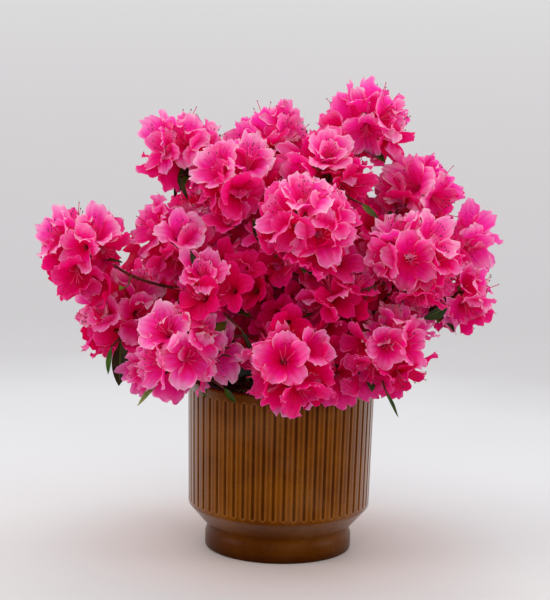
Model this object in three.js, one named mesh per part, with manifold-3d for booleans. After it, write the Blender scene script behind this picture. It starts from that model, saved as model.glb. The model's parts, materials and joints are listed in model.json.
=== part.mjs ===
// A pot-grown azalea in full bloom, in a fluted glazed planter.
// Millimetres, +Z up. The origin is the centre of the planter's flat underside, and -Y is the front.

import * as THREE from 'three';
import { mergeVertices } from 'three/addons/utils/BufferGeometryUtils.js';
import Module from 'manifold-3d';

const wasm = await Module();
wasm.setup();

const TAU = 2 * Math.PI;
const UP = new THREE.Vector3(0, 0, 1);
const CLEAR = 0.3;

// Planter: a ceramic drum with upright flutes, a chamfered shoulder below and a low round foot
const PLANTER = {
  radius: 75, height: 139.5, lipRound: 1.6, wall: 5.5,
  footRadius: 59, footHeight: 16, footEdge: 2, coveRadius: 57.5, coveHeight: 18.5,
  shoulderRadius: 73, shoulderHeight: 36, floor: 8,
};
const FLUTES = { count: 56, bottom: 38.5, top: 132.5, width: 3, depth: 1.3 };

// Thin plastic pot inside the planter, and the compost that fills it
const GROW_POT = { rimRadius: 61, rimHeight: 137, rimDepth: 9, rimStep: 2, baseRadius: 46, wall: 1.8 };
const COMPOST = { height: 128.5, crumb: 1.4, flatRadius: 20 };

// Trunk: flared at the compost, leaning a little, ending in the fork of the main boughs
const TRUNK = { foot: COMPOST.height + CLEAR, top: 171, flareRadius: 15, radius: 9, tipRadius: 6.5, lean: [4, -5] };

// One blossom and one leaf at full size
const BLOSSOM = { spread: 23.5, lobeDrop: 2.5, notchSpread: 16.5, notchDrop: 5, tube: 13, tubeRadius: 3, throat: 10.5 };
const LEAF = { length: 31, width: 11, thickness: 0.7, fold: 1.6 };

// A truss of bloom: how its twigs and blossoms spread from the stem that carries it
const TRUSS = {
  coverAngle: 2.3, buds: 40, spacing: 1.6, twigs: 3, twigReach: 0.24, twigRadius: 1.3, rootDepth: 2,
  stemRadius: 1.7, entry: 0.72, hub: 0.3, leaves: 3, leafReach: 1.22,
};
// Room kept to each wall between two trusses, and how far fusing may shift a blossom's surface
const CELL_GAP = 0.55;
const BLOOM_TRIM = 0.4;
const CORNER_SPACE = 0.002;
const SEED = 500;
// Reach, scale and closeness of the blossoms, tried in turn
const FIT_TRIES = [[1, 1, 1], [0.93, 0.97, 1], [0.86, 0.88, 0.95], [0.74, 0.78, 0.9]];

// The crown: each truss by its bearing (degrees from +X), reach from the axis, height and radius,
// with the limb that its bough leaves, and how far along that limb
const CROWN = [
  { name: 'top_middle', bearing: 135, reach: 21, height: 327, size: 33, from: 'trunk', at: 1.0 },
  { name: 'top_right', bearing: 0, reach: 64, height: 345, size: 36, from: 'trunk', at: 0.96 },
  { name: 'left', bearing: -156, reach: 85, height: 256, size: 40, from: 'trunk', at: 0.9 },
  { name: 'inner_front', bearing: -106, reach: 60, height: 238, size: 33, from: 'trunk', at: 0.84 },
  { name: 'back', bearing: 93, reach: 122, height: 224, size: 45, from: 'trunk', at: 0.88 },
  { name: 'far_right', bearing: -4, reach: 141, height: 210, size: 35, from: 'trunk', at: 0.76 },
  { name: 'back_left', bearing: 146, reach: 124, height: 214, size: 44, from: 'trunk', at: 0.78 },
  { name: 'back_right', bearing: 44, reach: 124, height: 222, size: 44, from: 'trunk', at: 0.72 },
  { name: 'low_front_left', bearing: -133, reach: 116, height: 170, size: 39, from: 'trunk', at: 0.66 },
  { name: 'low_front_right', bearing: -44, reach: 108, height: 181, size: 40, from: 'trunk', at: 0.64 },
  { name: 'far_left', bearing: -164, reach: 158, height: 249, size: 37, from: 'left', at: 0.35 },
  { name: 'low_left', bearing: -172, reach: 132, height: 187, size: 38, from: 'left', at: 0.2 },
  { name: 'top_left', bearing: 180, reach: 91, height: 320, size: 34, from: 'top_middle', at: 0.42 },
  { name: 'upper_front_left', bearing: -134, reach: 56, height: 301, size: 36, from: 'top_middle', at: 0.55 },
  { name: 'upper_back', bearing: 81, reach: 71, height: 286, size: 40, from: 'top_middle', at: 0.3 },
  { name: 'top_front', bearing: -40, reach: 52, height: 310, size: 37, from: 'top_right', at: 0.55 },
  { name: 'upper_right', bearing: -3, reach: 103, height: 290, size: 36, from: 'top_right', at: 0.4 },
  { name: 'upper_front', bearing: -80, reach: 98, height: 277, size: 40, from: 'inner_front', at: 0.6 },
  { name: 'low_front', bearing: -87, reach: 106, height: 171, size: 37, from: 'inner_front', at: 0.2 },
  { name: 'inner_front_left', bearing: -124, reach: 99, height: 219, size: 34, from: 'low_front_left', at: 0.4 },
  { name: 'inner_front_right', bearing: -60, reach: 86, height: 218, size: 34, from: 'low_front_right', at: 0.35 },
  { name: 'front_right', bearing: -36, reach: 120, height: 249, size: 41, from: 'far_right', at: 0.4 },
  { name: 'upper_far_right', bearing: 3, reach: 143, height: 256, size: 33, from: 'far_right', at: 0.6 },
  { name: 'low_right', bearing: 25, reach: 102, height: 168, size: 38, from: 'far_right', at: 0.35 },
  { name: 'upper_back_left', bearing: 134, reach: 82, height: 274, size: 39, from: 'back_left', at: 0.5 },
  { name: 'low_back_left', bearing: 147, reach: 116, height: 160, size: 40, from: 'back_left', at: 0.3 },
  { name: 'low_back', bearing: 106, reach: 118, height: 152, size: 40, from: 'back', at: 0.3 },
  { name: 'low_back_right', bearing: 66, reach: 118, height: 156, size: 40, from: 'back_right', at: 0.3 },
];
const BOUGH = { thickest: 4.4, tip: 1.5, taperLength: 170, rise: 0.55, follow: 0.5, arch: 0.42, sides: 5, step: 30 };
const LIMB_SAMPLE = 4;
const LIMB_SPACE = 0.9;

const MATERIALS = {
  glaze: new THREE.MeshStandardMaterial({ color: 0x6b3f0c, roughness: 0.2, metalness: 0 }),
  plastic: new THREE.MeshStandardMaterial({ color: 0x161514, roughness: 0.5, metalness: 0 }),
  compost: new THREE.MeshStandardMaterial({ color: 0x2a1a12, roughness: 0.95, metalness: 0 }),
  bark: new THREE.MeshStandardMaterial({ color: 0x5a3a28, roughness: 0.85, metalness: 0 }),
  bloom: new THREE.MeshStandardMaterial({ color: 0xe8308c, roughness: 0.55, metalness: 0 }),
};

// A repeatable run of numbers from 0 to 1
function seeded(seed) {
  let state = seed >>> 0;
  return () => {
    state = (Math.imul(state, 1664525) + 1013904223) >>> 0;
    return state / 4294967296;
  };
}

// Closed three.js geometry to a solid, and a solid to a named mesh
function solidOf(geometry) {
  const plain = geometry.clone();
  for (const attribute of ['normal', 'uv']) plain.deleteAttribute(attribute);
  const merged = mergeVertices(plain, 1e-4);
  return new wasm.Manifold(new wasm.Mesh({
    numProp: 3,
    vertProperties: new Float32Array(merged.attributes.position.array),
    triVerts: new Uint32Array(merged.index.array),
  }));
}

function meshOf(solid, name, material) {
  const { vertProperties, triVerts } = solid.getMesh();
  const geometry = new THREE.BufferGeometry();
  geometry.setAttribute('position', new THREE.BufferAttribute(vertProperties, 3));
  geometry.setIndex(new THREE.BufferAttribute(triVerts, 1));
  geometry.computeVertexNormals();
  const mesh = new THREE.Mesh(geometry, material);
  mesh.name = name;
  return mesh;
}

// One clean body: small faces merged, loose scraps dropped and sealed hollows filled
function cleanBody(solid, trim = 0.02) {
  const bodies = solid.asOriginal().simplify(trim).decompose();
  return bodies.reduce((best, body) => (body.volume() > best.volume() ? body : best));
}

// True if no two corners of a solid fall on each other
function cornersApart(solid) {
  const { vertProperties, numVert } = solid.getMesh();
  const cells = new Map();
  const near = [-1, 0, 1];
  for (let i = 0; i < numVert; i += 1) {
    const corner = vertProperties.slice(3 * i, 3 * i + 3);
    const [x, y, z] = corner.map((v) => Math.floor(v / CORNER_SPACE));
    for (const dx of near) {
      for (const dy of near) {
        for (const dz of near) {
          const other = cells.get(`${x + dx},${y + dy},${z + dz}`);
          if (other && Math.hypot(...other.map((v, k) => v - corner[k])) < CORNER_SPACE) return false;
        }
      }
    }
    cells.set(`${x},${y},${z}`, corner);
  }
  return true;
}

function polygonGeometry(points, faces) {
  const geometry = new THREE.BufferGeometry();
  const flat = points.flatMap((p) => [p.x, p.y, p.z]);
  geometry.setAttribute('position', new THREE.Float32BufferAttribute(flat, 3));
  geometry.setIndex(faces.flat());
  return geometry;
}

function lathe(profile, segments) {
  const geometry = new THREE.LatheGeometry(profile.map(([r, z]) => new THREE.Vector2(r, z)), segments);
  geometry.rotateX(Math.PI / 2);
  return solidOf(geometry);
}

function makePlanter() {
  const p = PLANTER;
  const outer = lathe([
    [0, 0], [p.footRadius - p.footEdge, 0], [p.footRadius, p.footEdge], [p.footRadius, p.footHeight],
    [p.coveRadius, p.coveHeight], [p.shoulderRadius, p.shoulderHeight],
    [p.radius, p.height - p.lipRound], [p.radius - p.lipRound, p.height], [0, p.height],
  ], FLUTES.count);
  const inside = lathe([
    [0, p.floor], [p.coveRadius - p.wall, p.floor], [p.coveRadius - p.wall, p.coveHeight],
    [p.shoulderRadius - p.wall, p.shoulderHeight + 1],
    [p.radius - p.wall, p.height - p.lipRound], [p.radius - p.wall + p.lipRound, p.height + 0.1], [0, p.height + 0.1],
  ], 48);
  let solid = outer.subtract(inside);
  const cutter = fluteCutter();
  for (let i = 0; i < FLUTES.count; i += 1) {
    const turn = ((i + 0.5) * TAU) / FLUTES.count;
    solid = solid.subtract(solidOf(cutter.clone().rotateZ(turn)));
  }
  return cleanBody(solid);
}

// One flute's slot with rounded ends, set into the +X side of the tapering drum
function fluteCutter() {
  const { width, depth, bottom, top } = FLUTES;
  const half = width / 2;
  const slot = new THREE.Shape();
  slot.absarc(0, top - half, half, 0, Math.PI);
  slot.absarc(0, bottom + half, half, Math.PI, TAU);
  const proud = 3;
  const cutter = new THREE.ExtrudeGeometry(slot, { depth: depth + proud, bevelEnabled: false, curveSegments: 1 });
  // The outline's x becomes the tangent and its y the height
  cutter.rotateX(Math.PI / 2);
  cutter.rotateZ(Math.PI / 2);
  const rise = PLANTER.height - PLANTER.lipRound - PLANTER.shoulderHeight;
  const slope = Math.atan((PLANTER.radius - PLANTER.shoulderRadius) / rise);
  const facet = Math.cos(Math.PI / FLUTES.count);
  cutter.translate(0, 0, -PLANTER.shoulderHeight);
  cutter.rotateY(slope);
  cutter.translate(PLANTER.shoulderRadius * facet - depth, 0, PLANTER.shoulderHeight);
  return cutter;
}

function makeGrowPot() {
  const g = GROW_POT;
  const base = PLANTER.floor + CLEAR;
  const below = g.rimHeight - g.rimDepth;
  const side = g.rimRadius - g.rimStep;
  return lathe([
    [0, base], [g.baseRadius, base], [side, below], [g.rimRadius, below], [g.rimRadius, g.rimHeight],
    [g.rimRadius - g.wall, g.rimHeight], [side - g.wall, below], [g.baseRadius - g.wall, base + g.wall],
    [0, base + g.wall],
  ], 40);
}

// Compost: a plug that fits the pot with a crumbly top, level where the trunk stands
function makeCompost() {
  const g = GROW_POT;
  const base = PLANTER.floor + 2 * CLEAR + g.wall;
  const below = g.rimHeight - g.rimDepth;
  const side = g.rimRadius - g.rimStep - g.wall - CLEAR;
  const foot = g.baseRadius - g.wall - CLEAR;
  const edge = foot + ((side - foot) * (COMPOST.height - base)) / (below - base) - CLEAR;
  const plug = new THREE.LatheGeometry([
    [0, base], [foot - CLEAR, base], [edge, COMPOST.height - 1], [edge * 0.8, COMPOST.height],
    [edge * 0.58, COMPOST.height], [COMPOST.flatRadius, COMPOST.height], [0, COMPOST.height],
  ].map(([r, z]) => new THREE.Vector2(r, z)), 36);
  plug.rotateX(Math.PI / 2);
  const random = seeded(11);
  const merged = mergeVertices(withoutExtras(plug), 1e-4);
  const { position } = merged.attributes;
  for (let i = 0; i < position.count; i += 1) {
    const radius = Math.hypot(position.getX(i), position.getY(i));
    if (position.getZ(i) > base + 1 && radius > COMPOST.flatRadius + 1 && radius < edge - 1) {
      position.setZ(i, position.getZ(i) + (random() - 0.6) * COMPOST.crumb);
    }
  }
  return solidOf(merged);
}

function withoutExtras(geometry) {
  geometry.deleteAttribute('normal');
  geometry.deleteAttribute('uv');
  return geometry;
}

// A limb is a curve with a radius at each fraction of its length
function limbPoint(limb, t) {
  return { at: limb.curve.getPoint(t), radius: limb.radius(t) };
}

// The limb's solid: a cylinder bent along its curve, with its radius grown by extra
function limbSolid(limb, extra) {
  const { sides, steps } = limb;
  const geometry = new THREE.CylinderGeometry(1, 1, 1, sides, steps);
  const { position } = geometry.attributes;
  for (let i = 0; i < position.count; i += 1) {
    const t = position.getY(i) + 0.5;
    const centre = limb.curve.getPoint(t);
    const along = limb.curve.getTangent(t);
    const { right, over } = crossFrame(along);
    const size = limb.radius(t) + extra;
    centre.addScaledVector(right, -position.getX(i) * size).addScaledVector(over, position.getZ(i) * size);
    position.setXYZ(i, centre.x, centre.y, centre.z);
  }
  return solidOf(geometry);
}

// Two directions square to an axis: one level, one as near upright as it can be
function crossFrame(axis) {
  const reference = Math.abs(axis.z) > 0.95 ? new THREE.Vector3(1, 0, 0) : UP;
  const right = new THREE.Vector3().crossVectors(reference, axis).normalize();
  const over = new THREE.Vector3().crossVectors(axis, right);
  return { right, over };
}

function makeTrunkLimb() {
  const { foot, top, lean, flareRadius, radius, tipRadius } = TRUNK;
  const rise = top - foot;
  const curve = new THREE.CubicBezierCurve3(
    new THREE.Vector3(0, 0, foot),
    new THREE.Vector3(0, 0, foot + rise * 0.35),
    new THREE.Vector3(lean[0], lean[1], foot + rise * 0.7),
    new THREE.Vector3(lean[0], lean[1], top),
  );
  const widen = (t) => (flareRadius - radius) * Math.exp(-t * 7) + radius + (tipRadius - radius) * t;
  return { curve, radius: widen, sides: 10, steps: 6 };
}

// Where a truss sits, and the point and direction at which its bough hands over to its stem
function placeTruss(row, parentPoint) {
  const turn = THREE.MathUtils.degToRad(row.bearing);
  const centre = new THREE.Vector3(Math.cos(turn) * row.reach, Math.sin(turn) * row.reach, row.height);
  const outward = centre.clone().sub(parentPoint).normalize();
  const axis = outward.addScaledVector(UP, BOUGH.rise * (1 - Math.abs(outward.z))).normalize();
  const entry = centre.clone().addScaledVector(axis, -TRUSS.entry * row.size);
  return { ...row, centre, axis, entry };
}

function makeBough(truss, parent, at) {
  const { at: start, radius: parentRadius } = limbPoint(parent, at);
  const span = truss.entry.distanceTo(start);
  const toward = truss.entry.clone().sub(start).normalize();
  const leave = toward.clone().addScaledVector(parent.curve.getTangent(at), BOUGH.follow).normalize();
  const curve = new THREE.CubicBezierCurve3(
    start,
    start.clone().addScaledVector(leave, span * BOUGH.arch),
    truss.entry.clone().addScaledVector(truss.axis, -span * 0.3),
    truss.entry,
  );
  const full = BOUGH.tip + (BOUGH.thickest - BOUGH.tip) * Math.min(1, span / BOUGH.taperLength);
  const base = Math.min(full, parentRadius * 0.8);
  const radius = (t) => base + (BOUGH.tip - base) * t;
  return { curve, radius, sides: BOUGH.sides, steps: Math.max(3, Math.round(span / BOUGH.step)) };
}

// Points along a limb with the room that it needs, for keeping blossom off it
function limbSamples(limb) {
  const count = Math.ceil(limb.curve.getLength() / LIMB_SAMPLE);
  return Array.from({ length: count + 1 }, (_, i) => limbPoint(limb, i / count));
}

// Flat walls between a truss and its neighbours, and one that keeps it off the planter's rim
function trussCell(truss, trusses) {
  const walls = [];
  for (const other of trusses) {
    if (other === truss) continue;
    const normal = other.centre.clone().sub(truss.centre);
    const distance = normal.length();
    const share = (distance * distance + truss.size ** 2 - other.size ** 2) / (2 * distance);
    normal.divideScalar(distance);
    walls.push({ normal, limit: normal.dot(truss.centre) + share - CELL_GAP });
  }
  const turn = THREE.MathUtils.degToRad(truss.bearing);
  const rim = new THREE.Vector3(-Math.cos(turn), -Math.sin(turn), -1).normalize();
  const edge = new THREE.Vector3(Math.cos(turn) * PLANTER.radius, Math.sin(turn) * PLANTER.radius, PLANTER.height);
  walls.push({ normal: rim, limit: rim.dot(edge) - 1.5 });
  return walls;
}

function insideCell(points, walls) {
  return points.every((p) => walls.every((wall) => wall.normal.dot(p) <= wall.limit));
}

// Corners of one blossom: root, three-sided tube, five lobes with notches between, and the throat
function blossomPoints(flower, thicken = 1) {
  const { root, axis, length, scale, roll } = flower;
  const { right, over } = crossFrame(axis);
  const ring = (index, count, radius, along) => {
    const turn = (index / count) * TAU + roll;
    return root.clone()
      .addScaledVector(axis, along)
      .addScaledVector(over, Math.cos(turn) * radius)
      .addScaledVector(right, -Math.sin(turn) * radius);
  };
  const b = BLOSSOM;
  const points = [root.clone()];
  for (let i = 0; i < 3; i += 1) points.push(ring(i, 3, b.tubeRadius * scale * thicken, length - b.tube * scale));
  for (let i = 0; i < 10; i += 1) {
    const lobe = i % 2 === 0;
    const spread = (lobe ? b.spread : b.notchSpread) * scale * (1 - 0.1 * (thicken - 1));
    points.push(ring(i, 10, spread, length - (lobe ? b.lobeDrop : b.notchDrop) * scale));
  }
  points.push(root.clone().addScaledVector(axis, length - b.throat * scale));
  return points;
}

function blossomSolid(flower, thicken) {
  const tube = [1, 2, 3];
  const rim = Array.from({ length: 10 }, (_, i) => 4 + i);
  const throat = 14;
  const faces = tube.map((corner, i) => [0, tube[(i + 1) % 3], corner]);
  rim.forEach((corner, i) => {
    const next = rim[(i + 1) % 10];
    // Each rim edge joins the tube corner nearest to its middle
    const side = tube[Math.round(((i + 0.5) * 3) / 10) % 3];
    const nextSide = tube[Math.round(((i + 1.5) * 3) / 10) % 3];
    faces.push([side, next, corner], [throat, corner, next]);
    if (nextSide !== side) faces.push([side, nextSide, next]);
  });
  return solidOf(polygonGeometry(blossomPoints(flower, thicken), faces));
}

// True where a limb would run through the cone that a blossom fills
function blossomTouches(flower, samples) {
  const { root, axis, length, scale } = flower;
  const neck = length - BLOSSOM.tube * scale;
  const rim = length - BLOSSOM.lobeDrop * scale;
  return samples.some(({ at, radius }) => {
    const away = at.clone().sub(root);
    const along = away.dot(axis);
    const off = Math.sqrt(Math.max(0, away.lengthSq() - along * along));
    const room = radius + LIMB_SPACE;
    if (along < -room || along > rim + room) return false;
    const flare = THREE.MathUtils.clamp((along - neck) / (rim - neck), 0, 1);
    const neckRadius = BLOSSOM.tubeRadius * scale * THREE.MathUtils.clamp(along / neck, 0, 1);
    return off < neckRadius + (BLOSSOM.spread * scale - neckRadius) * flare + room;
  });
}

// Leaf: six corners, so eight faces, folded along its midrib and drooping to its tip
function leafPoints(leaf) {
  const { root, axis, scale } = leaf;
  const { right, over } = crossFrame(axis);
  const corner = (along, side, lift) => root.clone()
    .addScaledVector(axis, along * scale)
    .addScaledVector(right, side * scale)
    .addScaledVector(over, lift * scale);
  const { length, width, thickness, fold } = LEAF;
  return [
    corner(0, 0, 0), corner(length, 0, -2 * fold),
    corner(length * 0.55, width / 2, fold), corner(length * 0.55, -width / 2, fold),
    corner(length * 0.5, 0, thickness), corner(length * 0.5, 0, -thickness),
  ];
}

function leafSolid(leaf) {
  const faces = [
    [0, 4, 3], [0, 2, 4], [1, 3, 4], [1, 4, 2],
    [0, 3, 5], [0, 5, 2], [1, 5, 3], [1, 2, 5],
  ];
  return solidOf(polygonGeometry(leafPoints(leaf), faces));
}

function leafTouches(leaf, samples) {
  const steps = [0.15, 0.3, 0.45, 0.6, 0.75, 0.9];
  const width = (LEAF.width / 2) * leaf.scale + LIMB_SPACE;
  return samples.some(({ at, radius }) => steps.some((t) => {
    const spot = leaf.root.clone().addScaledVector(leaf.axis, LEAF.length * leaf.scale * t);
    return spot.distanceTo(at) < radius + width;
  }));
}

// Even directions over the cap round an axis, each shifted a little
function capDirection(axis, index, count, spin, random) {
  const { right, over } = crossFrame(axis);
  const reach = 1 - Math.cos(TRUSS.coverAngle);
  const polar = Math.acos(1 - ((index + 0.5) / count) * reach) + (random() - 0.5) * 0.16;
  const turn = index * 2.39996 + spin + (random() - 0.5) * 0.3;
  return axis.clone().multiplyScalar(Math.cos(polar))
    .addScaledVector(right, Math.sin(polar) * Math.cos(turn))
    .addScaledVector(over, Math.sin(polar) * Math.sin(turn));
}

// Blossoms face out evenly from a truss: full-sized ones first, then smaller ones where room is left
function placeFlowers(truss, twigs, walls, samples, random) {
  const { centre, axis, size } = truss;
  const spin = random() * TAU;
  const buds = Array.from({ length: TRUSS.buds }, (_, i) => ({
    direction: capDirection(axis, i, TRUSS.buds, spin, random),
    grown: 0.92 + 0.13 * random(),
    roll: (random() - 0.5) * 0.7,
  }));
  const flowers = [];
  for (const [reach, scale, closeness] of FIT_TRIES) {
    for (const { direction, grown, roll } of buds) {
      const width = BLOSSOM.spread * grown * scale;
      const gap = TRUSS.spacing * closeness * Math.asin(Math.min(1, width / (size * reach)));
      if (flowers.some((flower) => flower.direction.angleTo(direction) < gap)) continue;
      const twig = twigs.reduce((a, b) => (b.direction.dot(direction) > a.direction.dot(direction) ? b : a));
      const depth = Math.sqrt((size * reach) ** 2 - width ** 2) + BLOSSOM.lobeDrop * grown * scale;
      const root = twig.end.clone().addScaledVector(direction, -TRUSS.rootDepth);
      const face = centre.clone().addScaledVector(direction, depth).sub(root);
      const length = face.length();
      const flower = { root, axis: face.normalize(), length, scale: grown * scale, roll, direction };
      const roomy = length > (BLOSSOM.tube + 3) * flower.scale;
      if (roomy && insideCell(blossomPoints(flower), walls) && !blossomTouches(flower, samples)) {
        flowers.push(flower);
      }
    }
  }
  return flowers;
}

// One truss grows from its stem: twigs, then the blossoms and leaves that have room
function growTruss(truss, walls, samples, seed) {
  const random = seeded(seed);
  const { centre, axis, size } = truss;
  const hub = centre.clone().addScaledVector(axis, -TRUSS.hub * size);
  const twigs = [];
  const twigSpin = random() * TAU;
  for (let i = 0; i < TRUSS.twigs; i += 1) {
    const direction = capDirection(axis, i, TRUSS.twigs, twigSpin, random);
    twigs.push({ direction, end: centre.clone().addScaledVector(direction, TRUSS.twigReach * size) });
  }
  const flowers = placeFlowers(truss, twigs, walls, samples, random);
  const leaves = [];
  for (let i = 0; i < TRUSS.leaves; i += 1) {
    const { right, over } = crossFrame(axis);
    const turn = (i / TRUSS.leaves) * TAU + random() * 1.2;
    const scale = 0.85 + 0.3 * random();
    const direction = axis.clone().multiplyScalar(0.1 - 0.5 * random())
      .addScaledVector(right, Math.cos(turn))
      .addScaledVector(over, Math.sin(turn))
      .addScaledVector(UP, -0.35 * random())
      .normalize();
    const leaf = { root: hub, axis: direction, scale: Math.min(scale, (size * TRUSS.leafReach) / LEAF.length) };
    if (insideCell(leafPoints(leaf), walls) && !leafTouches(leaf, samples)) leaves.push(leaf);
  }
  return { hub, twigs, flowers, leaves };
}

function rod(from, to, startRadius, endRadius, sides) {
  const curve = new THREE.LineCurve3(from, to);
  return limbSolid({ curve, radius: (t) => startRadius + (endRadius - startRadius) * t, sides, steps: 1 }, 0);
}

function fuseTruss(truss, growth, thicken, trim) {
  const { hub, twigs, flowers, leaves } = growth;
  const foot = truss.entry.clone().addScaledVector(truss.axis, CLEAR);
  const past = hub.clone().addScaledVector(truss.axis, 2);
  const parts = [rod(foot, past, BOUGH.tip, TRUSS.stemRadius, 5)];
  for (const twig of twigs) {
    const beyond = twig.end.clone().sub(hub).normalize().multiplyScalar(2.5).add(twig.end);
    parts.push(rod(hub, beyond, TRUSS.twigRadius * thicken * 1.3, TRUSS.twigRadius * thicken, 3));
  }
  for (const flower of flowers) parts.push(blossomSolid(flower, thicken));
  for (const leaf of leaves) parts.push(leafSolid(leaf));
  return cleanBody(parts.reduce((whole, part) => whole.add(part)), trim);
}

// Fuses a truss, with its tubes a little thicker and its lobes shorter until no corners coincide
function trussSolid(truss, growth) {
  for (let attempt = 0; attempt < 20; attempt += 1) {
    const solid = fuseTruss(truss, growth, 1 + 0.02 * attempt, BLOOM_TRIM * 0.95 ** attempt);
    if (cornersApart(solid)) return solid;
  }
  throw new Error(`${truss.name} can't be fused cleanly`);
}

const azalea = new THREE.Group();
azalea.add(meshOf(makePlanter(), 'planter', MATERIALS.glaze));
azalea.add(meshOf(makeGrowPot(), 'grow_pot', MATERIALS.plastic));
azalea.add(meshOf(makeCompost(), 'compost', MATERIALS.compost));

const limbs = { trunk: makeTrunkLimb() };
const trusses = [];
for (const row of CROWN) {
  const parent = limbs[row.from];
  const truss = placeTruss(row, limbPoint(parent, row.at).at);
  trusses.push(truss);
  limbs[row.name] = makeBough(truss, parent, row.at);
}

const trunk = limbSolid(limbs.trunk, 0);
azalea.add(meshOf(trunk, 'trunk', MATERIALS.bark));
let grownWood = limbSolid(limbs.trunk, CLEAR);
for (const truss of trusses) {
  const bough = cleanBody(limbSolid(limbs[truss.name], 0).subtract(grownWood));
  azalea.add(meshOf(bough, `bough_${truss.name}`, MATERIALS.bark));
  grownWood = grownWood.add(limbSolid(limbs[truss.name], CLEAR));
}

const wood = Object.values(limbs).flatMap(limbSamples);
trusses.forEach((truss, index) => {
  const walls = trussCell(truss, trusses);
  const near = wood.filter(({ at }) => at.distanceTo(truss.centre) < truss.size * 1.4);
  const growth = growTruss(truss, walls, near, SEED + index);
  azalea.add(meshOf(trussSolid(truss, growth), `bloom_${truss.name}`, MATERIALS.bloom));
});

export default azalea;
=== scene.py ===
# A pot-grown azalea in full bloom, in its fluted planter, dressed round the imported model.
# Sizes are in millimetres, as in the part's source, until a piece's mesh turns them into metres.
# +Z is up, the origin is the centre of the planter's underside, and -Y is the front.

import json
import math

import bpy
import numpy as np
from mathutils import Matrix, Vector

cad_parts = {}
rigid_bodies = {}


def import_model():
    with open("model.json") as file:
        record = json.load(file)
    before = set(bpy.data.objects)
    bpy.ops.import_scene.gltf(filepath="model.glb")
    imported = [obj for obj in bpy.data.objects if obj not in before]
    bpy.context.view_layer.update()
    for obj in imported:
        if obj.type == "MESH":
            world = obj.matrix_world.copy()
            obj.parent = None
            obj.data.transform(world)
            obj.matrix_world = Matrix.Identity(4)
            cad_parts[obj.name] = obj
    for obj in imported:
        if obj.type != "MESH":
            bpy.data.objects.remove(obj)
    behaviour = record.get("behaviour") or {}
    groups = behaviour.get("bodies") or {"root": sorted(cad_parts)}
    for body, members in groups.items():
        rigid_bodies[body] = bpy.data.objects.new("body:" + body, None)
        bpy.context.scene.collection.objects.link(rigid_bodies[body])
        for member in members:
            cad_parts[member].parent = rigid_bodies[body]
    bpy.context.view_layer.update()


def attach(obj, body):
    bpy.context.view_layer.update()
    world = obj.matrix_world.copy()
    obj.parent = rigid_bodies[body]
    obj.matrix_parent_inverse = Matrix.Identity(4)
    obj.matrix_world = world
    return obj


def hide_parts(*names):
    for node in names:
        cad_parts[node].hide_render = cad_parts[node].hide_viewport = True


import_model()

MM = 0.001
TAU = 2 * math.pi
UP = np.array([0.0, 0.0, 1.0])
GOLDEN_TURN = 2.39996

# Driving sizes of the part's source, repeated
PLANTER = dict(
    radius=75, height=139.5, lip_round=1.6, wall=5.5, foot_radius=59, foot_edge=2,
    cove_radius=57.5, cove_height=18.5, shoulder_radius=73, shoulder_height=36, floor=8,
)
FLUTES = dict(count=56, bottom=38.5, top=132.5, width=3, depth=1.3)
# How far a flute's wall slopes, and the bead of glaze along its edge: how far off it stands, and its width
FLUTE_FORM = dict(slope=1.4, bead_off=0.35, bead_width=0.4)
GROW_POT = dict(rim_radius=61, rim_height=137, rim_depth=9, rim_step=2, base_radius=46, wall=1.8)
GROW_POT_SIDES = 96
COMPOST_HEIGHT = 128.5
CLEAR = 0.3
TRUNK = dict(
    foot=COMPOST_HEIGHT + CLEAR, top=171, flare_radius=15, flare_fade=7, radius=9, tip_radius=6.5,
    lean=(4, -5),
)
BLOSSOM = dict(
    spread=23.5, lobe_drop=2.5, notch_spread=16.5, notch_drop=5, tube=13, tube_radius=3, throat=10.5,
)
LEAF = dict(length=31, width=11, thickness=0.7, fold=1.6)
TRUSS = dict(
    cover_angle=2.3, buds=40, spacing=1.6, twigs=3, twig_reach=0.24, twig_radius=1.3, root_depth=2,
    stem_radius=1.7, entry=0.72, hub=0.3, leaves=3, leaf_reach=1.22, roll=0.7, grown=(0.92, 0.13),
)
# A truss's leaves: how far each may turn from its even place, its size and its lean along the truss's axis,
# each as the least and how much more, and how far it may hang
TRUSS_LEAVES = dict(turn=1.2, size=(0.85, 0.3), along=(0.1, -0.5), hang=0.35)
# How far a truss keeps from the middle between it and its neighbour, and from the planter's rim
CELL_GAP = 0.55
RIM_GAP = 1.5
# Limbs within this many of a truss's radii are the ones that it has to clear
NEAR_WOOD = 1.4
SEED = 500
# Rounds in which blossoms are fitted: reach, size, and how close they may stand
FIT_TRIES = [(1, 1, 1), (0.93, 0.97, 1), (0.86, 0.88, 0.95), (0.74, 0.78, 0.9)]
BOUGH = dict(
    thickest=4.4, tip=1.5, taper_length=170, of_parent=0.8, rise=0.55, follow=0.5, arch=0.42, arrive=0.3,
)
# How far a direction on a cap is shifted from its even place
SHIFT = dict(polar=0.16, turn=0.3)
# Millimetres between the points that stand for a limb, and the room that blossoms and leaves keep from it
LIMB_SAMPLE = 4
LIMB_SPACE = 0.9

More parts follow.
